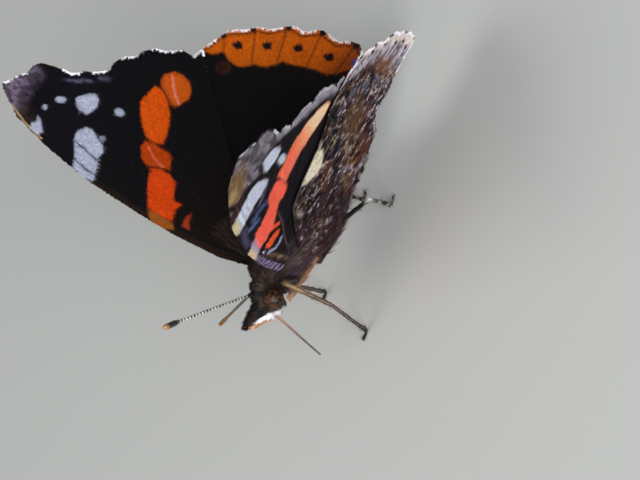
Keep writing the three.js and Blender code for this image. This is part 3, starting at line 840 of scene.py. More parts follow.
def forewing_under_colour(s, f):
    """Underside of the forewing: the red band and white marks again, with a marbled tip"""
    c = Markings(s, f, "#161114")
    c.lay((1 - smooth(0, 7, s)) * 0.5, "#30241f")
    tip = inside(s, f, [
        (23.1, 3.24), (22.7, 1.62), (21.6, 0.92), (22, -0.2), (21.7, -1.01), (21.1, -1.91), (23, -2.43),
        (23.1, -3.64), (22.3, -5.1), (19.7, -7.6), (17.3, -10.1), (14.2, -11.3), (12.2, -10.6), (10.6, -12.0),
        (10.2, -14.27), (15.1, -13.3), (29.7, -8.33), (30, 3.22),
    ], 0.4)
    marbled = Markings(s, f, "#6a6068")
    waves = mottle(s * 0.9, f * 2.0, 41)
    marbled.lay(smooth(0.3, 0.7, waves), "#948c96")
    marbled.lay(smooth(0.6, 0.9, mottle(s * 2.4, f * 4, 42)) * 0.5, "#3a2e30")
    marbled.lay(smooth(0.65, 0.95, mottle(s * 1.6, f * 2.6, 43)) * 0.7, "#bcb6bc")
    marbled.oval((24.4, 0.4), 7.0, 2.4, "#97733f", 0.9, turn=-0.3, soft=0.7)
    marbled.oval((23.9, 0.91), 2.4, 0.9, "#c6ac7a", 0.9, turn=-0.3, soft=0.7)
    c.colour = c.colour * (1 - tip[:, None]) + marbled.colour * tip[:, None]
    c.stroke([(18, 2.24), (19.6, 1.73), (21, 0.71)], 1.3, 0.3, "#4a3032", 0.7)
    c.stroke([(19.2, -6.0), (18.5, -8.2), (16.9, -10.1), (15.3, -10.9)], 0.75, 0.35, "#141013", 0.85)
    c.oval((13.0, -12.0), 1.6, 2.2, "#5a4638", 0.8, soft=0.5)
    # Root of the wing: barred front edge, tan mottling, a pale streak and two prongs of the band
    bars = smooth(-0.4, 0.6, np.sin((s - f * 0.9 + mottle(s * 1.5, f * 4, 44) * 0.5) * 2 * math.pi / 0.8))
    strip = near_line(s, f, [(-0.1, 1.51), (1.5, 1.9), (3.5, 2.23), (5.5, 2.5), (7.7, 2.72)], 0.72, 0.1)
    c.lay(strip, "#46364a")
    c.lay(strip * bars * (0.6 + 0.4 * mottle(s * 3, f * 6, 46)), "#a49ac0")
    c.stroke(
        [(-0.1, 0.51), (1.8, 0.97), (4, 1.47), (6, 1.97)], 0.6, 0.2, "#6a5242",
        smooth(0.3, 0.7, mottle(s * 1.6, f * 5, 45)),
    )
    c.oval((2.5, 1.07), 1.6, 0.3, "#b09878", 0.5, turn=0.3)
    c.stroke([(5.6, 1.57), (4.8, 0.97), (4.6, 0.36), (4.9, -0.09)], 0.42, 0.15, "#a0a4c4")
    c.oval((6.7, 1.85), 0.6, 0.24, "#d4d4ea")
    c.stroke([(1, 0.27), (4.2, -0.34), (7, -1.06), (9.6, -1.32)], 0.14, 0.1, "#6a5c60", 0.7)
    prong = [(6.9, 1.56), (6, 1.26), (6, 0.56), (6, -0.05), (6.5, -0.5), (7, -0.25), (7.2, 0.35), (7.3, 1.16)]
    c.patch(prong, 0.16, "#f0602c")
    c.patch([(8.3, 0.45), (7.8, -0.2), (7.3, -0.75), (7.7, -0.96), (8.7, -0.26)], 0.14, "#f4603a")
    # The band: red at the root, salmon beyond the middle, running out into a cream lobe
    salmon = [
        (12.7, -3.3), (15.4, -3.1), (16.1, -3.21), (16.4, -3.92), (16.9, -4.73), (17.6, -5.44), (17.9, -6.45),
        (17.8, -7.66), (17.1, -9.17), (15.9, -10.3), (14.9, -10.5), (14.4, -9.36), (14.4, -8.14),
        (14.5, -7.23), (14.6, -6.23), (14.0, -5.01), (13.1, -3.9),
    ]
    band = inside(s, f, salmon, 0.24)
    for start, end, colour in ((-2.5, -2.6, "#ff8062"), (-5.0, -7.2, "#f8a878"), (-6.8, -8.6, "#f4d8b4")):
        c.lay(band * (1 - smooth(end, start, f)), colour)
    c.stroke([(16.1, -3.61), (17, -5.23), (17.4, -6.85)], 0.5, 0.25, "#f07c34", (f > -7.5) * 0.6)
    c.stroke([(13.6, -4.41), (14.4, -5.82), (14.6, -7.24)], 0.4, 0.25, "#ff9c80", (f > -7.5) * 0.7)
    red = [
        (8.1, 1.86), (9.5, 1.96), (10.6, 1.65), (11.6, 1.25), (11.7, 0.54), (12.3, -0.57), (12.8, -1.03),
        (14, -1.28), (14.8, -1.69), (15.2, -2.2), (15.3, -2.8), (14.6, -3.2), (13.1, -3.4), (11.9, -3.39),
        (11.2, -2.99), (11, -2.48), (11.2, -1.88), (10.3, -1.41), (9.7, -1.07), (9.1, -0.66), (8.5, -0.15),
        (8.3, 0.45), (8, 0.96),
    ]
    c.patch(red, 0.16, "#ff7059")
    c.stroke([(11.1, -2.08), (12.2, -1.68), (13.3, -1.28)], 0.25, 0.2, "#e8862c", 0.4)
    c.stroke([(12.3, -3.34), (13.6, -3.3), (15.4, -3.1)], 0.1, 0.12, "#6a2a14", 0.7)
    c.stroke([(10.7, 1.76), (9.3, 1.98), (8.4, 1.96)], 0.4, 0.2, "#e8a8c4", 0.75)
    c.patch([(10.8, 2.06), (9.4, 2.01), (7.7, 2.07), (7.7, 2.57), (9.7, 2.67)], 0.2, "#bcb2c8")
    c.patch([(10, 2.46), (7.9, 2.37), (7.3, 2.62), (7.7, 3.07), (9.9, 3.17)], 0.2, "#e6cca4")
    # Blue-grey marks and white bars between the band and the tip
    for line, width, colour in (
        ([(15.5, -0.48), (16.3, -1.19), (17.1, -1.9)], 0.5, "#6c6484"),
        ([(14.3, 0.53), (14.4, -0.07), (14.3, -0.78)], 0.85, "#52608e"),
        ([(13.4, 1.34), (13.2, 0.64)], 0.8, "#6472a4"),
        ([(15.9, 0.63), (15.4, -0.08)], 0.6, "#3c3248"),
        ([(14.7, 1.95), (13, 2.35), (11.2, 2.46)], 0.6, "#56506e"),
    ):
        c.stroke(line, width, 0.3, colour, 0.85)
    bar = [
        (18.9, -2.06), (17.8, -2.31), (17.2, -1.9), (16.9, -1.09), (16.6, 0.02), (16.2, 0.73), (15.9, 1.44),
        (15.4, 2.15), (17.5, 2.14), (18.7, 1.83), (19.2, 1.23), (19.6, 0.52), (20.1, -0.09), (20.4, -0.8),
        (20, -1.51),
    ]
    c.patch(bar, 0.22, "#dadfec")
    c.patch([(18.5, 1.83), (16.1, 1.94), (15.2, 2.35), (16.1, 2.95), (18.2, 2.84)], 0.25, "#e0d2aa")
    c.oval((20.9, 1.93), 0.9, 0.5, "#7c7060", 0.8)
    c.patch(
        [
            (22.7, -2.73), (20.5, -2.42), (19.5, -2.62), (19.5, -3.53), (19.7, -4.13), (20.1, -4.64),
            (21.5, -4.55), (22.4, -4.04),
        ],
        0.22, "#dce2f0",
    )
    c.patch(
        [(18.9, -3.88), (17.3, -3.82), (16.9, -4.22), (17.3, -4.73), (18.4, -4.73), (19, -4.43)], 0.15,
        "#ccd2de",
    )
    pale_edge = [
        (13, -12.2), (16, -11.6), (17.8, -10.9), (19.2, -9.9), (19.9, -8.8), (20.7, -7.6), (21.1, -6.7),
        (22.4, -5.7), (23.8, -5.2),
    ]
    c.stroke(pale_edge, 0.5, 0.3, "#bab8c2", 0.3 + 0.6 * mottle(s * 2.2, f * 2.2, 47))
    return c.colour


def hindwing_under_colour(s, f):
    """Underside of the hindwing: bark-like marbling with a cream patch and a pale outer edge"""
    c = bark(s, f, 51)
    waves = mottle(s * 1.6, f * 3.4, 61)
    c.oval((7, -11.4), 6.0, 3.4, "#5e4028", 0.35 + 0.5 * waves, turn=-0.2, soft=0.5)
    c.oval((8.0, -16.6), 5.2, 1.9, "#7a5038", 0.4 + 0.5 * waves, turn=0.25, soft=0.5)
    c.oval((1.6, -11.0), 5.0, 1.1, "#5c382a", 0.35 + 0.5 * waves, turn=-0.1, soft=0.5)
    c.stroke([(4.2, -2.6), (5.6, -2.4), (6.8, -2.1), (7.8, -2.7), (8.8, -3.6)], 0.5, 0.25, "#9a8676", 0.7)
    patch = [
        (9, -4.1), (9.8, -4.6), (10.3, -5.8), (11.1, -7.0), (9.8, -7.55), (8.6, -7.35), (7.3, -6.6),
        (7.5, -5.5), (8.2, -4.6),
    ]
    cream = inside(s, f, patch, 0.2)
    c.lay(cream, "#e2d8c2")
    c.lay(cream * smooth(0.55, 0.8, mottle(s * 2.4, f * 3.6, 63)) * 0.5, "#a8987c")
    c.oval((11.3, -7.7), 1.5, 0.5, "#b8aa9c", 0.8, turn=-0.2)
    c.oval((0.4, -7.4), 2.4, 0.6, "#8c7656", 0.55, soft=0.6)
    eyespots = (((7.2, -15.0), 0.9), ((9.4, -14.0), 0.8), ((11.4, -12.6), 0.8), ((5.2, -15.6), 0.7))
    for centre, size in eyespots:
        c.oval(centre, size * 1.5, size * 1.3, "#8a8090", 0.6, turn=0.4, soft=0.3)
        c.oval(centre, size, size * 0.8, "#151620", 0.8, turn=0.4, soft=0.3)
        c.oval(centre, size * 0.4, size * 0.3, "#6a7690", 0.6)
    c.lay((1 - smooth(0.15, 0.7, edge_at(HINDWING_COSTA, s) - f)) * (s < 14) * 0.7, "#191213")
    edge = edge_at(HINDWING_MARGIN, s)
    depth = f - edge
    outer = (1 - smooth(1.6, 2.9, depth + (mottle(s * 1.5, f, 66) - 0.5))) * smooth(2.9, 4.4, s)
    c.lay(outer * (0.25 + 0.7 * smooth(0.35, 0.7, mottle(s * 4.0, f * 1.2, 67))), "#b9b0bc")
    c.lay(outer * smooth(0.62, 0.85, mottle(s * 3.2, f * 3.2, 68)) * 0.8, "#3c3236")
    c.lay((1 - smooth(0.3, 0.9, depth)) * smooth(3.0, 4, s) * 0.8, "#dccfc4")
    for x, y in ((5.4, -19.15), (6.8, -19.25), (8.4, -18.55), (10.9, -17.6), (13.0, -16.2)):
        c.oval((x, y), 0.7, 0.42, "#17121a")
    c.stroke([(0.3, -12.5), (1.5, -12.9), (3.0, -13.9)], 0.4, 0.15, "#c8c0c4", 0.75)
    reddish = (1 - smooth(-0.5, 1.6, s)) * smooth(0.3, 0.8, mottle(s * 6, f * 1.2, 70))
    c.lay(reddish * 0.7, "#4a2026")
    return c.colour


FOREWING = {
    "costa": FOREWING_COSTA, "margin": FOREWING_MARGIN, "layer": FOREWING_LAYER, "veins": FOREWING_VEINS,
    "top": forewing_top_colour, "under": forewing_under_colour, "spans": (0.0, 30.1), "fringe_from": 15.0,
    "grid": (190, 44), "root": (-3.0, 0.2), "fringe": "#f2f0f4",
    "white_fringe": [
        (15.3, 16.15), (17.3, 19.7), (20.3, 21.55), (22.0, 23.3), (24.0, 26.0), (28.55, 28.95), (29.15, 30.2),
    ],
}
HINDWING = {
    "costa": HINDWING_COSTA, "margin": HINDWING_MARGIN, "layer": HINDWING_LAYER, "veins": HINDWING_VEINS,
    "top": hindwing_top_colour, "under": hindwing_under_colour, "spans": (-2.1, 15.8), "fringe_from": -3,
    "grid": (120, 90), "root": (-1.5, 2.5), "fringe": "#f2f0f4",
    "white_fringe": [(2.4, 3.75), (4.8, 7.1), (7.85, 10.05), (10.65, 12.7), (13.15, 14.75), (15.05, 15.9)],
}
# Painted shade: the left forewing's fringe is painted grey where the same fringe on the right forewing is white
FOREWING_LEFT = {**FOREWING, "costa": FOREWING_LEFT_COSTA, "margin": FOREWING_LEFT_MARGIN, "fringe": "#b8b6bd"}
HINDWING_LEFT = {
    **HINDWING, "margin": HINDWING_LEFT_MARGIN,
    "white_fringe": [(4.2, 4.7), (4.95, 7.1), *HINDWING["white_fringe"][2:]],
}


def wing_membrane_piece(name, wing, pose):
    """The wing's thin plate: a flat grid given its thickness, then laid to the wing's outline and curve"""
    bm = bmesh.new()
    columns, rows = wing["grid"]
    bmesh.ops.create_grid(bm, x_segments=columns, y_segments=rows, size=1)
    bmesh.ops.solidify(bm, geom=bm.verts[:] + bm.edges[:] + bm.faces[:], thickness=1)
    mesh = mesh_of(bm)
    flat = places_of(mesh)
    low, high = wing["spans"]
    s = low + (flat[:, 0] + 1) / 2 * (high - low)
    t = (flat[:, 1] + 1) / 2
    trailing, leading = edge_at(wing["margin"], s), edge_at(wing["costa"], s)
    f = trailing + (leading - trailing) * t
    upper = flat[:, 2] > flat[:, 2].mean()
    face = np.where(upper, 1, -1)
    out = wing["layer"] + face * (MEMBRANE_THICKNESS / 2 + vein_height(s, f, wing["veins"]))
    move_to(mesh, wing_place(pose, s, f, out))
    colours = np.where(upper[:, None], wing["top"](s, f), wing["under"](s, f))
    mark(mesh, colours * MEMBRANE_TONE)
    bm = bmesh.new()
    bm.from_mesh(mesh)
    bmesh.ops.recalc_face_normals(bm, faces=bm.faces)
    bm.to_mesh(mesh)
    bm.free()
    return show(name, mesh, wing_membrane, replaces=(name,))


def surface_frame(pose, s, f, out, away, turn):
    """Place, lie and normal of things that lie on a wing, each turned from the span towards the front"""
    here = wing_place(pose, s, f, out)
    along_s = unit(wing_place(pose, s + SURFACE_STEP, f, out) - here)
    along_f = unit(wing_place(pose, s, f + SURFACE_STEP, out) - here)
    normal = unit(wing_place(pose, s, f, out + SURFACE_STEP * away) - here)
    return here, unit(along_s * np.cos(turn)[:, None] + along_f * np.sin(turn)[:, None]), normal


def wing_scales_piece(name, wing, pose, away):
    """Overlapping scales in rows on arcs about the wing root, over one side of a wing"""
    root_s, root_f = wing["root"]
    spans, forwards = [], []
    for i, r in enumerate(np.arange(*SCALE_ROWS, SCALE_PITCH)):
        turn = np.arange(*SCALE_ARC, SCALE_SPACING / r) + (i % 2) * SCALE_SPACING / r / 2
        turn = turn + scatter(SCALE_SCATTER["row"], len(turn)) * SCALE_SPACING / r
        spans.append(root_s + r * np.cos(turn))
        forwards.append(root_f + r * np.sin(turn))
    s, f = np.concatenate(spans), np.concatenate(forwards)
    s = s + scatter(SCALE_SCATTER["span"], len(s))
    low, high = wing["spans"]
    kept = (s > low) & (s < high) & (f > edge_at(wing["margin"], s) + SCALE_INSET)
    kept &= f < edge_at(wing["costa"], s) - SCALE_INSET
    s, f = s[kept], f[kept]
    turn = np.arctan2(f - root_f, s - root_s) + scatter(SCALE_SCATTER["turn"], len(s))
    out = wing["layer"] + away * (MEMBRANE_THICKNESS / 2 + vein_height(s, f, wing["veins"]))
    frames = surface_frame(pose, s, f, out, away, turn)
    tint = 1 + scatter(SCALE_SCATTER["light"], len(s), 1) + scatter(SCALE_SCATTER["hue"], len(s), 3)
    colours = (wing["top"] if away > 0 else wing["under"])(s, f) * np.clip(tint, 0.5, 1.6)
    size = 1 + scatter(SCALE_SCATTER["size"], len(s))
    repeat(
        name, SCALE, *frames, SCALE_WIDTH * MM * size, SCALE_LENGTH * MM * size,
        SCALE_LIFT + scatter(SCALE_SCATTER["lift"], len(s)), SCALE_BEND, colours, np.stack([s, f], -1),
        wing_scales, "wing", shade=0.75,
    )


def fringe_piece(name, wing, pose):
    """Long fringe scales round the outer margin, white between the vein ends and dark at them"""
    pts = np.array([p for p in wing["margin"] if p[0] > wing["fringe_from"]])
    steps = np.hypot(*np.diff(pts, axis=0).T)
    distance = np.concatenate([[0], np.cumsum(steps)])
    count = int(distance[-1] / FRINGE_SPACING)
    d = np.repeat(np.linspace(0.05, distance[-1] - 0.02, count), FRINGE_LAYERS)
    d = np.clip(d + scatter(FRINGE_SPACING / 2, len(d)), 0, distance[-1])
    s, f = np.interp(d, distance, pts[:, 0]), np.interp(d, distance, pts[:, 1])
    ahead = np.minimum(d + FRINGE_SLOPE, distance[-1])
    behind = np.maximum(d - FRINGE_SLOPE, 0)
    ds, df = (np.interp(ahead, distance, line) - np.interp(behind, distance, line) for line in pts.T)
    turn = np.arctan2(df, ds) - math.pi / 2 + scatter(0.1, len(s))
    out = wing["layer"] + scatter(MEMBRANE_THICKNESS / 2, len(s))
    s, f = s - FRINGE_INSET * np.cos(turn), f - FRINGE_INSET * np.sin(turn)
    frames = surface_frame(pose, s, f, out, 1, turn)
    white = np.zeros(len(s))
    for low, high in wing["white_fringe"]:
        here = smooth(low - 0.12, low + 0.08, s) * (1 - smooth(high - 0.08, high + 0.12, s))
        white = np.maximum(white, here)
    colours = paint(np.tile(linear("#1c1518"), (len(s), 1)), white, wing["fringe"])
    inner = (1 - smooth(2.6, 3.2, s)) * smooth(0.55, 0.75, mottle(d * 1.8, d * 0, 77))
    colours = paint(colours, inner * 0.45, "#8a8088")
    colours = colours * (1 + scatter(0.08, len(s), 1))
    length = FRINGE_LENGTH * MM * (0.8 + 0.25 * white + scatter(0.1, len(s)))
    repeat(
        name, SCALE, *frames, FRINGE_WIDTH * MM, length, scatter(0.12, len(s)), 0.0, colours,
        np.stack([s, f], -1), wing_scales, "wing", shade=0.8,
    )


def root_hair_piece(name, wing, pose, away, patch):
    """Long soft hair that lies back over the root of a wing"""
    n = patch["count"]
    (s0, s1), (f0, f1) = patch["span"], patch["forward"]
    s, f = s0 + (s1 - s0) * rng.random(n) ** 1.4, f0 + (f1 - f0) * rng.random(n)
    kept = (f > edge_at(wing["margin"], s) + 0.1) & (f < edge_at(wing["costa"], s) - 0.05)
    s, f = s[kept], f[kept]
    n = len(s)
    turn = np.arctan2(f - wing["root"][1] - 1.0, s - wing["root"][0]) + scatter(0.2, n)
    out = wing["layer"] + away * MEMBRANE_THICKNESS / 2
    frames = surface_frame(pose, s, f, out, away, turn)
    pick = rng.random((n, 1))
    dark, mid, pale = (linear(tone) for tone in patch["tones"])
    colours = np.where(pick < 0.5, dark, np.where(pick < 0.85, mid, pale))
    size = sizes(n, 0.25, 0.4, 1.7) * (1 - 0.45 * (s - s0) / (s1 - s0))
    repeat(
        name, HAIR, *frames, patch["width"] * MM, patch["length"] * MM * size,
        np.abs(0.14 + scatter(0.06, n)), 0.5, colours, np.stack([s, f], -1), hair, "fur", shade=0.7,
    )


# Hair over the wing roots: tufts tried, size in mm, the span and forward distances between which it stands,
# and its dark, middle and pale tones
ROOT_HAIR = {
    ("forewing", "upper"): {
        "count": 1500, "length": 1.5, "width": 0.02, "span": (0.0, 5.0), "forward": (-4.2, 0.9),
        "tones": ("#20140e", "#33231a", "#4a3626"),
    },
    ("hindwing", "upper"): {
        "count": 3000, "length": 1.7, "width": 0.02, "span": (-2.0, 5.5), "forward": (-11.0, -0.5),
        "tones": ("#20140e", "#33231a", "#4e3a2a"),
    },
    ("forewing", "under"): {
        "count": 700, "length": 0.8, "width": 0.022, "span": (0.0, 2.4), "forward": (-3.0, 0.7),
        "tones": ("#1c1416", "#3a2c30", "#6a5c66"),
    },
    ("hindwing", "under"): {
        "count": 2600, "length": 1.0, "width": 0.024, "span": (-2.1, 2.6), "forward": (-7.0, -0.6),
        "tones": ("#150d10", "#3a1c22", "#685458"),
    },
}
SCALE = scale_pattern()
HAIR = hair_pattern()

for name, pose in WING_POSE.items():
    fore, hind = (FOREWING_LEFT, HINDWING_LEFT) if name == "left" else (FOREWING, HINDWING)
    for kind, wing in (("forewing", fore), ("hindwing", hind)):
        wing_membrane_piece(f"{kind}_{name}", wing, pose)
        for face, away in FACES.items():
            wing_scales_piece(f"{kind}_{name}_{face}_scales", wing, pose, away)
        fringe_piece(f"{kind}_{name}_fringe", wing, pose)
        for face, away in FACES.items():
            root_hair_piece(f"{kind}_{name}_{face}_root_hair", wing, pose, away, ROOT_HAIR[kind, face])


# Body

def thorax_profile(t):
    return np.where(t > 0, (1 - np.abs(t) ** 4) ** 0.3, (1 - t * t) ** 0.42)


def abdomen_profile(t):
    segments = 1 + 0.025 * np.cos(t * 9 * math.pi)
    return (1 - np.abs(t) ** 3) ** 0.5 * (1 + 0.25 * np.minimum(0, t)) * segments


def palp_profile(t):
    along = (t + 1) / 2
    return (1 - along) ** 0.75 * smooth(0, 0.15, along) ** 0.5


def round_form(profile=None):
    """A smooth ball of unit radius, or one whose radius along its length follows a profile"""
    bm = bmesh.new()
    bmesh.ops.create_uvsphere(bm, u_segments=48, v_segments=40, radius=1)
    mesh = mesh_of(bm)
    ball = places_of(mesh)
    if profile:
        reach = np.hypot(ball[:, 0], ball[:, 1])
        swell = profile(np.clip(ball[:, 2], -1, 1)) / np.maximum(reach, 1e-6)
        ball[:, :2] *= np.where(reach > 1e-6, swell, 0)[:, None]
    return mesh, ball


def axial_form(size, profile, depth, rise=0.0):
    """A form along the body's length, thinner all round by the coat's depth"""
    mesh, ball = round_form(profile)
    t = ball[:, 2]
    half = (size["front"] - size["rear"]) / 2 - depth
    a = (size["front"] + size["rear"]) / 2 + half * t
    b = size["level"] + ball[:, 1] * (size["half_height"] - depth) + rise * np.maximum(0, -t) ** 2
    move_to(mesh, standing(a, b, ball[:, 0] * (size["half_width"] - depth)))
    return mesh


def head_form(depth):
    mesh, ball = round_form()
    move_to(mesh, standing(
        HEAD["forward"] + ball[:, 2] * (HEAD["half_length"] - depth),
        HEAD["up"] + ball[:, 1] * (HEAD["half_height"] - depth),
        ball[:, 0] * (HEAD["half_width"] - depth),
    ))
    return mesh


def palp_form(side, depth):
    mesh, ball = round_form(palp_profile)
    t = (ball[:, 2] + 1) / 2
    (a0, b0, l0), (a1, b1, l1) = PALP["base"], PALP["tip"]
    move_to(mesh, standing(
        a0 + (a1 - depth - a0) * t,
        b0 + (b1 - b0) * t + ball[:, 1] * (PALP["half_height"] - depth),
        side * (l0 + (l1 - l0) * t) + ball[:, 0] * (PALP["half_width"] - depth),
    ))
    return mesh


def body_skin():
    """One seamless skin over thorax, abdomen, head and palps, inside their solids by the coat's depth"""
    forms = [
        axial_form(THORAX, thorax_profile, COAT_DEPTH["thorax"]),
        axial_form(ABDOMEN, abdomen_profile, COAT_DEPTH["abdomen"], ABDOMEN_TIP_RISE),
        axial_form(WAIST, abdomen_profile, COAT_DEPTH["abdomen"]),
        axial_form(NECK, abdomen_profile, COAT_DEPTH["head"]),
        head_form(COAT_DEPTH["head"]),
        *(palp_form(side, COAT_DEPTH["palp"]) for side in SIDES.values()),
    ]
    bm = bmesh.new()
    for form in forms:
        bm.from_mesh(form)
    bmesh.ops.scale(bm, verts=bm.verts, vec=(1 / MM,) * 3)
    lump = put("lump", mesh_of(bm))
    remesh = lump.modifiers.new("one_skin", "REMESH")
    remesh.mode, remesh.voxel_size = "VOXEL", SKIN_VOXEL
    skin = bpy.data.meshes.new_from_object(lump.evaluated_get(bpy.context.evaluated_depsgraph_get()))
    bpy.data.objects.remove(lump)
    bm = bmesh.new()
    bm.from_mesh(skin)
    for _ in range(SKIN_SMOOTHING):
        bmesh.ops.smooth_vert(bm, verts=bm.verts, factor=0.5, use_axis_x=True, use_axis_y=True, use_axis_z=True)
    bmesh.ops.scale(bm, verts=bm.verts, vec=(MM,) * 3)
    bmesh.ops.triangulate(bm, faces=bm.faces)
    return mesh_of(bm)


def coat_colour(a, b, l):
    """Colour of skin and hair at a place on the body"""
    clump = mottle(a * 2.2, b * 2.2 + l * 1.7, 81)
    c = Markings(a, b, "#150e0d")
    c.lay(smooth(0.35, 0.75, clump) * 0.6, "#33231b")
    c.lay(smooth(0.5, 0.85, mottle(a * 1.5 + 3, l * 1.5 + b, 83)) * 0.6, "#3a2838")
    c.lay(smooth(0.62, 0.8, mottle(a * 3.0 + 9, b * 3.0 - l * 2.5, 85)) * 0.5, "#6e5848")
    ringed = smooth(0.2, 0.8, np.cos((a - ABDOMEN["front"]) * 2 * math.pi / 0.98))
    c.lay(ringed * (a < -5.4) * 0.3, "#4a3a2c")
    belly = (1 - smooth(-2.0, -1.35, b)) * (1 - smooth(1.2, 2.0, a))
    c.lay(belly * (0.55 + 0.4 * clump), "#a47e68")
    c.colour = c.colour * (1 - 0.5 * smooth(0.8, 2.2, a) * smooth(-2.2, -1.4, b))[:, None]
    tan = inside(a, b, TAN_CHEEK, 0.1)
    c.lay(tan, "#ac8464")
    white = inside(a, b, WHITE_CHEEK, 0.09) * smooth(0.25, 0.45, np.abs(l))
    c.lay(white, "#fcfaff")
    c.patch(DARK_PALP_TIP, 0.12, "#0d0a0a")
    return c.colour


def coat_part(a, b, l):
    """Which part of the coat each place belongs to"""
    on_head = (
        ((a - HEAD["forward"]) / HEAD["half_length"]) ** 2 + ((b - HEAD["up"]) / HEAD["half_height"]) ** 2
        + (l / HEAD["half_width"]) ** 2 < 0.95
    )
    part = np.where(a < -4.7, "coat_abdomen", "coat_thorax")
    part = np.where((a > 1.9) & on_head | (a > 2.6), "coat_head", part)
    return np.where((a > 4.2) | ((a > 3.7) & (b < -1.3)), "coat_palps", part)


def comb(part, a, b, l):
    """The way the hair lies, as forward, upward and leftward"""
    lie = np.zeros((len(a), 3))
    lie[:, 0], lie[:, 1] = -1, -0.1
    if part == "coat_thorax":
        collar = smooth(1.0, 2.4, a)
        lie[:, 1] = -0.3 * smooth(0.5, 2, np.abs(l)) + 0.8 * collar
        lie[:, 0] = -1 + 1.5 * collar
        lie[:, 2] = 0.25 * np.sign(l)
    if part == "coat_head":
        low = 1 - smooth(-1.7, -1.2, b)
        lie[:, 0] = 0.55 + 0.45 * low
        lie[:, 1] = 0.75 - 0.5 * low
        lie[:, 2] = 0.15 * np.sign(l)
    if part == "coat_palps":
        lie[:, 0] = 0.96
        lie[:, 1] = 0.3 + 0.25 * smooth(-1.6, -1.0, b)
        lie[:, 2] = 0.08 * np.sign(l)
    return lie


def sample_skin(mesh, density):
    """Random places on the skin with their normals, density in places to the square mm"""
    points = places_of(mesh)
    normals = np.zeros(len(mesh.vertices) * 3)
    mesh.vertices.foreach_get("normal", normals)
    normals = normals.reshape(-1, 3)
    corners = np.zeros(len(mesh.loops), np.int32)
    mesh.loops.foreach_get("vertex_index", corners)
    corners = corners.reshape(-1, 3)
    p0, p1, p2 = (points[corners[:, i]] for i in range(3))
    area = np.linalg.norm(np.cross(p1 - p0, p2 - p0), axis=1) / 2 / (MM * MM)
    count = int(area.sum() * density)
    chosen = rng.choice(len(corners), count, p=area / area.sum())
    u, v = rng.random(count), rng.random(count)
    over = u + v > 1
    u[over], v[over] = 1 - u[over], 1 - v[over]
    w = 1 - u - v

    def mixed(values):
        return sum(x[:, None] * values[corners[chosen, i]] for i, x in enumerate((w, u, v)))

    return mixed(points), unit(mixed(normals))


def coat_pieces(skin):
    """The hair of the body, in the parts of its coat"""
    for part, coat in COATS.items():
        roots, normal = sample_skin(skin, coat["tufts"])
        a, b, l = body_place(roots)
        kept = coat_part(a, b, l) == part
        under_eye = np.hypot(a - EYE["forward"], b - EYE["up"]) < EYE["radius"] * 0.8
        kept &= ~(under_eye & (np.abs(l) > 0.55) & (part == "coat_head"))
        roots, normal, a, b, l = roots[kept], normal[kept], a[kept], b[kept], l[kept]
        lie = comb(part, a, b, l) @ np.stack([FORWARD, UPWARD, LEFTWARD])
        along = laid(lie + scatter(HAIR_SCATTER, *lie.shape), normal)
        n = len(roots)
        size = sizes(n, 0.18, 0.5, 1.6)
        lift = coat["lift"] * (1 + scatter(0.15, n))
        if part == "coat_palps":
            size = size * (0.75 + 0.3 * smooth(-1.5, -0.9, b) * (1 - smooth(5.0, 6.0, a)))
            lift = lift * (1 - 0.6 * smooth(4.8, 6.0, a))
        if part == "coat_thorax":
            size = size * (1 - 0.35 * smooth(0.6, 2.2, a))
        # The hair of the head's end lies closer
        lift = lift * (1 - 0.45 * smooth(0.6, 2.0, a))
        tint = 1 + scatter(0.35, n, 1) + scatter(0.06, n, 3)
        tint = tint * np.where(rng.random((n, 1)) < 0.14, 2.8, 1.0)
        colours = coat_colour(a, b, l) * np.clip(tint, 0.35, 3)
        around = np.arctan2(l, b - THORAX["level"])
        repeat(
            part, HAIR, roots - normal * HAIR_ROOT * MM, along, normal, coat["width"] * MM * np.sqrt(size),
            coat["length"] * MM * size, lift, coat["bend"], colours, np.stack([around, a], -1), hair, "fur",
            shade=0.5,
        )


skin = body_skin()
skin_a, skin_b, skin_l = body_place(places_of(skin))
mark(skin, coat_colour(skin_a, skin_b, skin_l) * SKIN_TONE)
coat_pieces(skin)
flesh = ("head", "thorax", "abdomen", "palp_left", "palp_right")
show("body_skin", skin, skin_cuticle, replaces=flesh)


# Eyes

def eye_piece(name, side):
    """A smooth faceted eye with the short bristles that stand between its lenses"""
    bm = bmesh.new()
    bmesh.ops.create_uvsphere(bm, u_segments=64, v_segments=48, radius=1)
    mesh = mesh_of(bm)
    ball = places_of(mesh)
    centre = np.array([EYE["forward"], EYE["up"], side * EYE["side"]])
    radii = np.array(EYE["shape"]) * EYE["radius"]
    move_to(mesh, standing(*(centre + ball * radii).T))
    show(f"eye_{name}", mesh, eye_lens, replaces=(f"eye_{name}",))
    facing = unit(scatter(1, EYE_BRISTLES, 3))
    facing = facing[facing[:, 2] * side > 0.05]
    n = len(facing)
    axes = np.stack([FORWARD, UPWARD, LEFTWARD])
    roots = standing(*(centre + facing * radii).T)
    normal = unit((facing / radii) @ axes)
    along = laid(0.8 * FORWARD + 0.3 * UPWARD + scatter(0.15, n, 3), normal)
    repeat(
        f"eye_{name}_bristles", HAIR, roots, along, normal,
        EYE_BRISTLE["width"] * MM, EYE_BRISTLE["length"] * MM, EYE_BRISTLE["lift"], EYE_BRISTLE["bend"],
        linear("#5a4434") * (1 + scatter(0.2, n, 1)), facing[:, :2], hair, "eye",
    )


for name, side in SIDES.items():
    eye_piece(name, side)


# Limbs

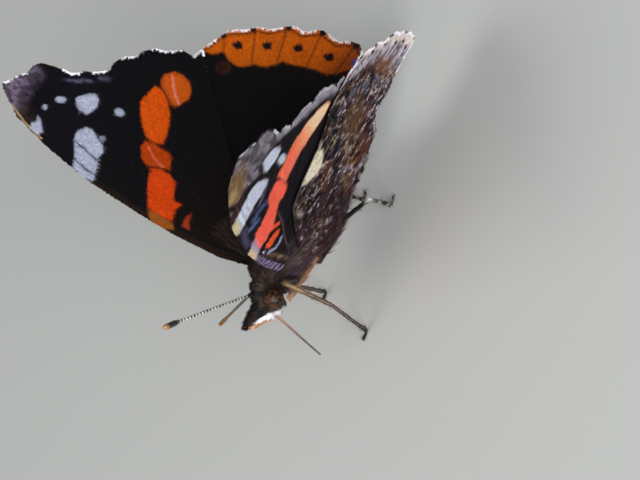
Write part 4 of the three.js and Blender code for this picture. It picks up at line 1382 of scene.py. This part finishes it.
def curve_through(points, per_gap):
    """A smooth line through its points, with the same number of steps in each gap"""
    pts = np.asarray(points, float)
    ends = np.vstack([2 * pts[0] - pts[1], pts, 2 * pts[-1] - pts[-2]])
    line = []
    for i in range(1, len(ends) - 2):
        p0, p1, p2, p3 = ends[i - 1:i + 3]
        for t in np.arange(per_gap) / per_gap:
            line.append(0.5 * (2 * p1 + (p2 - p0) * t + (2 * p0 - 5 * p1 + 4 * p2 - p3) * t * t
                               + (3 * p1 - p0 - 3 * p2 + p3) * t ** 3))
    return np.vstack([line, pts[-1]])


def straight(start, end, steps):
    t = np.linspace(0, 1, steps)[:, None]
    return np.asarray(start) * (1 - t) + np.asarray(end) * t


def frames_along(line):
    """Forward, side and up directions that follow a line without twisting"""
    ahead = unit(np.gradient(line, axis=0))
    side = unit(np.cross(ahead[0], [0.31, 0.52, 0.8]))
    sides = []
    for direction in ahead:
        side = unit(side - direction * (side @ direction))
        sides.append(side)
    sides = np.array(sides)
    return ahead, sides, np.cross(ahead, sides)


def round_limb(line, radii, sides=LIMB_SIDES):
    """A closed round limb, extruded from a ring along a line in metres with a radius in mm at each step"""
    ahead, side, up = frames_along(line)
    bm = bmesh.new()
    bmesh.ops.create_circle(bm, cap_ends=True, segments=sides, radius=1)
    face = bm.faces[:][0]
    before = Matrix.Identity(4)
    for i, radius in enumerate(radii):
        r = radius * MM
        place = Matrix(np.stack([side[i] * r, up[i] * r, ahead[i] * r, line[i]], 1).tolist() + [[0, 0, 0, 1]])
        if i == 0:
            moved = bm.verts[:]
        else:
            made = bmesh.ops.extrude_face_region(bm, geom=[face])["geom"]
            moved = [g for g in made if isinstance(g, bmesh.types.BMVert)]
            face = next(g for g in made if isinstance(g, bmesh.types.BMFace))
        bmesh.ops.transform(bm, matrix=place @ before.inverted(), verts=moved)
        before = place
    open_edges = [e for e in bm.edges if e.is_boundary]
    if open_edges:
        bmesh.ops.holes_fill(bm, edges=open_edges)
    return mesh_of(bm)


def joined(meshes):
    """Several forms as one mesh"""
    bm = bmesh.new()
    for mesh in meshes:
        bm.from_mesh(mesh)
    return mesh_of(bm)


def limb_bristles(name, limbs, slot):
    """Short flat bristles and scales over several limbs, each limb a strip of the unwrap"""
    count, length, width, lift = LIMB_BRISTLES[name]
    parts = []
    for k, (line, radii, colours) in enumerate(limbs):
        ahead, side, up = frames_along(line)
        n = int(count * len(line) / sum(len(x[0]) for x in limbs))
        step = rng.random(n) * (len(line) - 1.001)
        i, t = step.astype(int), (step % 1)[:, None]
        turn = rng.random(n) * 2 * math.pi
        centre = line[i] * (1 - t) + line[i + 1] * t
        normal = side[i] * np.cos(turn)[:, None] + up[i] * np.sin(turn)[:, None]
        roots = centre + normal * (radii[i] * MM * 0.95)[:, None]
        tips = roots + ahead[i] * length * MM + normal * (lift * length * MM)
        clear = np.minimum(roots[:, 2], tips[:, 2]) > BRISTLE_CLEARANCE * MM
        spots = np.stack([k + turn / 6.6, step / len(line)], -1)
        parts.append(tuple(x[clear] for x in (roots, ahead[i], normal, colours[i], spots)))
    roots, along, normal, colours, spots = (np.concatenate(x) for x in zip(*parts))
    n = len(roots)
    colours = colours * np.clip(1 + scatter(0.2, n, 1), 0.5, 1.6)
    size = sizes(n, 0.25, 0.4, 1.8)
    repeat(
        name, HAIR, roots, along, normal, width * MM * size, length * MM * size, lift, 0.3, colours, spots,
        hair, slot, shade=0.7,
    )


def blend_colours(hexes, stops, t):
    """Colours that run evenly from one stop to the next"""
    table = np.array([linear(h) for h in hexes])
    return np.stack([np.interp(t, stops, table[:, i]) for i in range(3)], -1)


def feeler_piece(name, feeler):
    """A feeler: thin ringed shaft, thicker dark club with a pale tip"""
    socket, shaft_end, tip = (standing(*feeler[k]) for k in ("socket", "shaft_end", "tip"))
    line = np.vstack([straight(socket, shaft_end, SHAFT_STEPS)[:-1], straight(shaft_end, tip, CLUB_STEPS)])
    distance = np.concatenate([[0], np.cumsum(np.linalg.norm(np.diff(line, axis=0), axis=1))]) / MM
    shaft = distance[SHAFT_STEPS - 1]
    along = distance / distance[-1]
    swell = smooth(shaft - 0.6, shaft + 0.5, distance)
    ring = distance / FEELER_RING % 1
    joint = np.exp(-((ring - 0.5) / 0.2) ** 2)
    radii = SHAFT_RADIUS + 0.02 * joint * (1 - swell) + feeler["swell"] * swell
    left = np.clip((distance[-1] - distance) / 0.42, 0, 1)
    radii = radii * np.sqrt(1 - (1 - left) ** 2) + 0.004
    radii[:3] = SOCKET_RADII
    colours = np.tile(linear("#15110f"), (len(line), 1))
    white = smooth(0.1, 0.2, ring) * (1 - smooth(0.6, 0.7, ring)) * (0.7 + 0.3 * along)
    white = white * (1 - smooth(shaft - 0.1, shaft + 0.3, distance))
    # Painted shade: on the right feeler the white rings are painted at a fifth of their strength, as it lies in
    # shade
    colours = paint(colours, white * (1 - 0.8 * feeler["shaded_underside"]) * smooth(0.5, 0.9, distance), "#f4f3ee")
    colours = paint(colours, smooth(shaft, shaft + 0.3, distance) * 0.8, "#2a1d16")
    # The right feeler shows its underside, golden brown
    colours = paint(colours, smooth(0.45, 0.7, along) * feeler["shaded_underside"], "#6e4a20")
    colours = paint(colours, smooth(distance[-1] - 0.62, distance[-1] - 0.4, distance), "#c08a54")
    mesh = round_limb(line, radii)
    mark(mesh, np.repeat(colours, LIMB_SIDES, axis=0))
    show(f"antenna_{name}", mesh, limb_cuticle, replaces=(f"antenna_{name}", f"antenna_club_{name}"))
    return line, radii, colours


feelers = [feeler_piece(name, feeler) for name, feeler in FEELERS.items()]
limb_bristles("feeler_scales", feelers, "feeler")


def tongue_piece():
    """The two half tubes of the tongue, side by side"""
    line = curve_through([standing(*p) for p in TONGUE], 14)
    t = np.linspace(0, 1, len(line))
    radii = TONGUE_RADIUS[0] + (TONGUE_RADIUS[1] - TONGUE_RADIUS[0]) * t
    mesh = joined([round_limb(line + LEFTWARD * side * TONGUE_HALF * MM, radii) for side in SIDES.values()])
    colours = blend_colours(["#b08250", "#8a5a34", "#4a2c1c", "#35201a"], [0, 0.35, 0.75, 1], t)
    mark(mesh, np.tile(np.repeat(colours, LIMB_SIDES, axis=0), (2, 1)))
    show("proboscis", mesh, tongue_cuticle, replaces=("proboscis",))


tongue_piece()


def leg_line(leg):
    """The line of one leg from inside the thorax to its toe, with its radius and how far down it each step is:
    0 at the hip, 1 at the knee, 2 at the ankle and 3 at the toe"""
    hip, knee, ankle = (standing(*leg[k]) for k in ("hip", "knee", "ankle"))
    toe_a, toe_l = leg["toe"]
    toe_b = (-HINGE_HEIGHT - toe_a * math.sin(BODY_PITCH)) / math.cos(BODY_PITCH)
    toe = standing(toe_a, toe_b, toe_l)
    toe[2] = TOE_HEIGHT * MM
    heel = toe + np.array([0, math.copysign(FOOT_LENGTH, toe_a + 5), 0.03]) * MM
    bend = ankle + (heel - ankle) * 0.72
    inner = hip + (UPWARD * 0.9 - LEFTWARD * math.copysign(0.35, leg["hip"][2])) * MM
    coxa = straight(inner, hip, LEG_STEPS["coxa"])[:-1]
    femur = straight(hip, knee, LEG_STEPS["femur"])[:-1]
    tibia = straight(knee, ankle, LEG_STEPS["tibia"])[:-1]
    tarsus = curve_through([ankle, bend, heel, toe], LEG_STEPS["tarsus"])
    line = np.vstack([coxa, femur, tibia, tarsus])
    tf, tt = np.linspace(0, 1, len(femur)), np.linspace(0, 1, len(tibia))
    ts = np.linspace(0, 1, len(tarsus))
    knobs = 1 + 0.22 * np.exp(-((ts * 5 % 1 - 0.9) / 0.16) ** 2)
    radii = np.concatenate([
        np.linspace(*COXA_RADIUS, len(coxa)),
        FEMUR_RADIUS[0] + (FEMUR_RADIUS[1] - FEMUR_RADIUS[0]) * tf + 0.03 * np.sin(math.pi * tf),
        TIBIA_RADIUS[0] + (TIBIA_RADIUS[1] - TIBIA_RADIUS[0]) * tt,
        (TARSUS_RADIUS[0] + (TARSUS_RADIUS[1] - TARSUS_RADIUS[0]) * ts) * knobs,
    ])
    down = np.concatenate([np.zeros(len(coxa)), tf, 1 + tt, 2 + ts])
    return line, radii, down


def claws(line):
    """Two small hooked claws at the toe"""
    ahead = frames_along(line)[0]
    toe, forward = line[-1], unit(ahead[-1] * np.array([1, 1, 0]))
    across = np.cross(forward, [0, 0, 1])
    made = []
    for way in (-1, 1):
        root = toe + (-0.02 * forward + 0.03 * way * across) * MM
        tip = root + (CLAW["length"] * forward + CLAW["spread"] * way * across) * MM
        mid = (root + tip) / 2 + np.array([0, 0, CLAW["arch"] * MM])
        tip[2] = CLAW["tip_height"] * MM
        made.append(round_limb(curve_through([root, mid, tip], 3), np.linspace(*CLAW["radius"], 7), 6))
    return made


def settle(mesh):
    """Ease the underside of a foot up to the floor"""
    places = places_of(mesh)
    height, lowest = places[:, 2], min(places[:, 2].min(), 0)
    sole = SOLE_HEIGHT * MM
    places[:, 2] = np.where(height < sole, sole * (height - lowest) / (sole - lowest), height)
    move_to(mesh, places)


def leg_piece(name, leg):
    """A walking leg: tan and brown in front, blackish with pale joints behind"""
    line, radii, down = leg_line(leg)
    if name.startswith("mid"):
        colours = blend_colours(
            ["#231914", "#2c2019", "#765f38", "#846940", "#735636", "#4e3728", "#2c1b15", "#241611", "#2e1d14"],
            [0, 0.75, 0.97, 1.1, 1.5, 2, 2.2, 2.6, 3], down,
        )
        speckled = smooth(0.5, 0.75, mottle(down * 9, down * 0, 91)) * (down > 1)
        colours = paint(colours, speckled * 0.45, "#3a281c")
    else:
        colours = blend_colours(["#2a1f1a", "#1c1512", "#17110f", "#17110f"], [0, 1, 2, 3], down)
        joints = np.exp(-((down - 1.0) / 0.05) ** 2) + np.exp(-((down - 2.0) / 0.06) ** 2)
        toes = np.exp(-(((down * 5) % 1 - 0.9) / 0.13) ** 2) * (down > 2)
        colours = paint(colours, joints * 0.85 + toes * 0.7, "#c8c0b8")
    meshes = [round_limb(line, radii)]
    colour_list = [np.repeat(colours, LIMB_SIDES, axis=0)]
    for claw in claws(line):
        meshes.append(claw)
        colour_list.append(np.tile(linear("#1c120c"), (len(claw.vertices), 1)))
    mesh = joined(meshes)
    settle(mesh)
    mark(mesh, np.concatenate(colour_list))
    sections = tuple(f"{part}_{name}" for part in ("femur", "tibia", "tarsus"))
    show(f"leg_{name}", mesh, limb_cuticle, replaces=sections)
    return line, radii, colours


legs = [leg_piece(name, leg) for name, leg in LEGS.items()]
limb_bristles("leg_bristles", legs, "leg")
shins = [
    (line[SPINES_FROM:], radii[SPINES_FROM:], colours[SPINES_FROM:] * 0.6) for line, radii, colours in legs
]
limb_bristles("leg_spines", shins, "leg")


def foreleg_piece(name, side):
    """A short folded foreleg: the stem that its brush of long soft hair is laid on"""
    hip, knee = (standing(a, b, side * l) for a, b, l in FORELEG.values())
    line = straight(hip + UPWARD * 0.1 * MM, knee, FORELEG_STEPS)
    t = np.linspace(0, 1, FORELEG_STEPS)
    radii = FORELEG_RADIUS[0] + (FORELEG_RADIUS[1] - FORELEG_RADIUS[0]) * t
    radii[-1] = FORELEG_TIP_RADIUS
    colours = blend_colours(["#9a7460", "#b88a74"], [0, 1], t)
    mesh = round_limb(line, radii)
    mark(mesh, np.repeat(colours, LIMB_SIDES, axis=0))
    show(f"foreleg_{name}", mesh, limb_cuticle, replaces=(f"foreleg_{name}",))
    return line, radii, colours


forelegs = [foreleg_piece(name, side) for name, side in SIDES.items()]
limb_bristles("foreleg_brush", forelegs, "leg")


# Camera, light and floor

def in_world(axis):
    """A direction given in the body's frame, in the model's frame"""
    return axis[0] * FORWARD + axis[1] * UPWARD + axis[2] * LEFTWARD


def place_camera():
    right, up, back = (in_world(axis) for axis in (IMAGE_RIGHT, IMAGE_UP, IMAGE_BACK))
    data = bpy.data.cameras.new("view")
    data.lens, data.sensor_width = LENS, SENSOR
    data.clip_start, data.clip_end = 0.01, 10
    camera = put("view", data)
    aim = standing(0, 0, 0) + (HINGE_RIGHT * right + HINGE_UP * up) * PIXEL * MM
    turn = Matrix(np.stack([right, up, back], 1).tolist()).to_4x4()
    camera.matrix_world = Matrix.Translation(Vector(aim + CAMERA_DISTANCE * MM * back)) @ turn
    bpy.context.scene.camera = camera


def add_lamp(name, toward, size, power, colour):
    """A large soft lamp that faces the butterfly from one direction"""
    data = bpy.data.lights.new(name, "AREA")
    data.shape, data.size, data.energy, data.color = "DISK", size, power, colour
    lamp = put(name, data)
    lamp.location = Vector(LAMP_AIM) + Vector(toward).normalized() * LAMP_DISTANCE
    lamp.rotation_mode = "QUATERNION"
    lamp.rotation_quaternion = Vector(toward).normalized().to_track_quat("Z", "Y")


def floor_material():
    """Matt painted studio board: pale, even, with the faintest cloud in its tone"""
    material, tree = new_material("matt_painted_board")
    place = {"Vector": add_node(tree, "ShaderNodeTexCoord").outputs["Object"]}
    cloud = add_node(tree, "ShaderNodeTexNoise", {"Scale": 12.0, "Detail": 2.0}, place)
    tone = add_node(
        tree, "ShaderNodeMix", {"data_type": "RGBA", 6: socket_colour("#c6c8c4"), 7: socket_colour("#cccdca")},
        {0: cloud.outputs["Fac"]},
    )
    shader = add_node(tree, "ShaderNodeBsdfPrincipled", {"Roughness": 0.85}, {"Base Color": tone.outputs[2]})
    finish_material(tree, shader)
    return material


def lay_floor():
    bm = bmesh.new()
    bmesh.ops.create_grid(bm, x_segments=2, y_segments=2, size=FLOOR_HALF_SIDE)
    mesh = bpy.data.meshes.new("floor")
    bm.to_mesh(mesh)
    bm.free()
    mesh.materials.append(floor_material())
    floor = put("floor", mesh)


def light_studio():
    world = bpy.data.worlds.new("studio")
    bpy.context.scene.world = world
    world.use_nodes = True
    tree = world.node_tree
    tree.nodes.clear()
    sky = add_node(tree, "ShaderNodeBackground", SKY)
    add_node(tree, "ShaderNodeOutputWorld", links={"Surface": sky.outputs["Background"]})
    for name, lamp in LAMPS.items():
        add_lamp(name, *lamp)


bpy.context.scene.view_settings.view_transform = "Standard"
place_camera()
light_studio()
lay_floor()
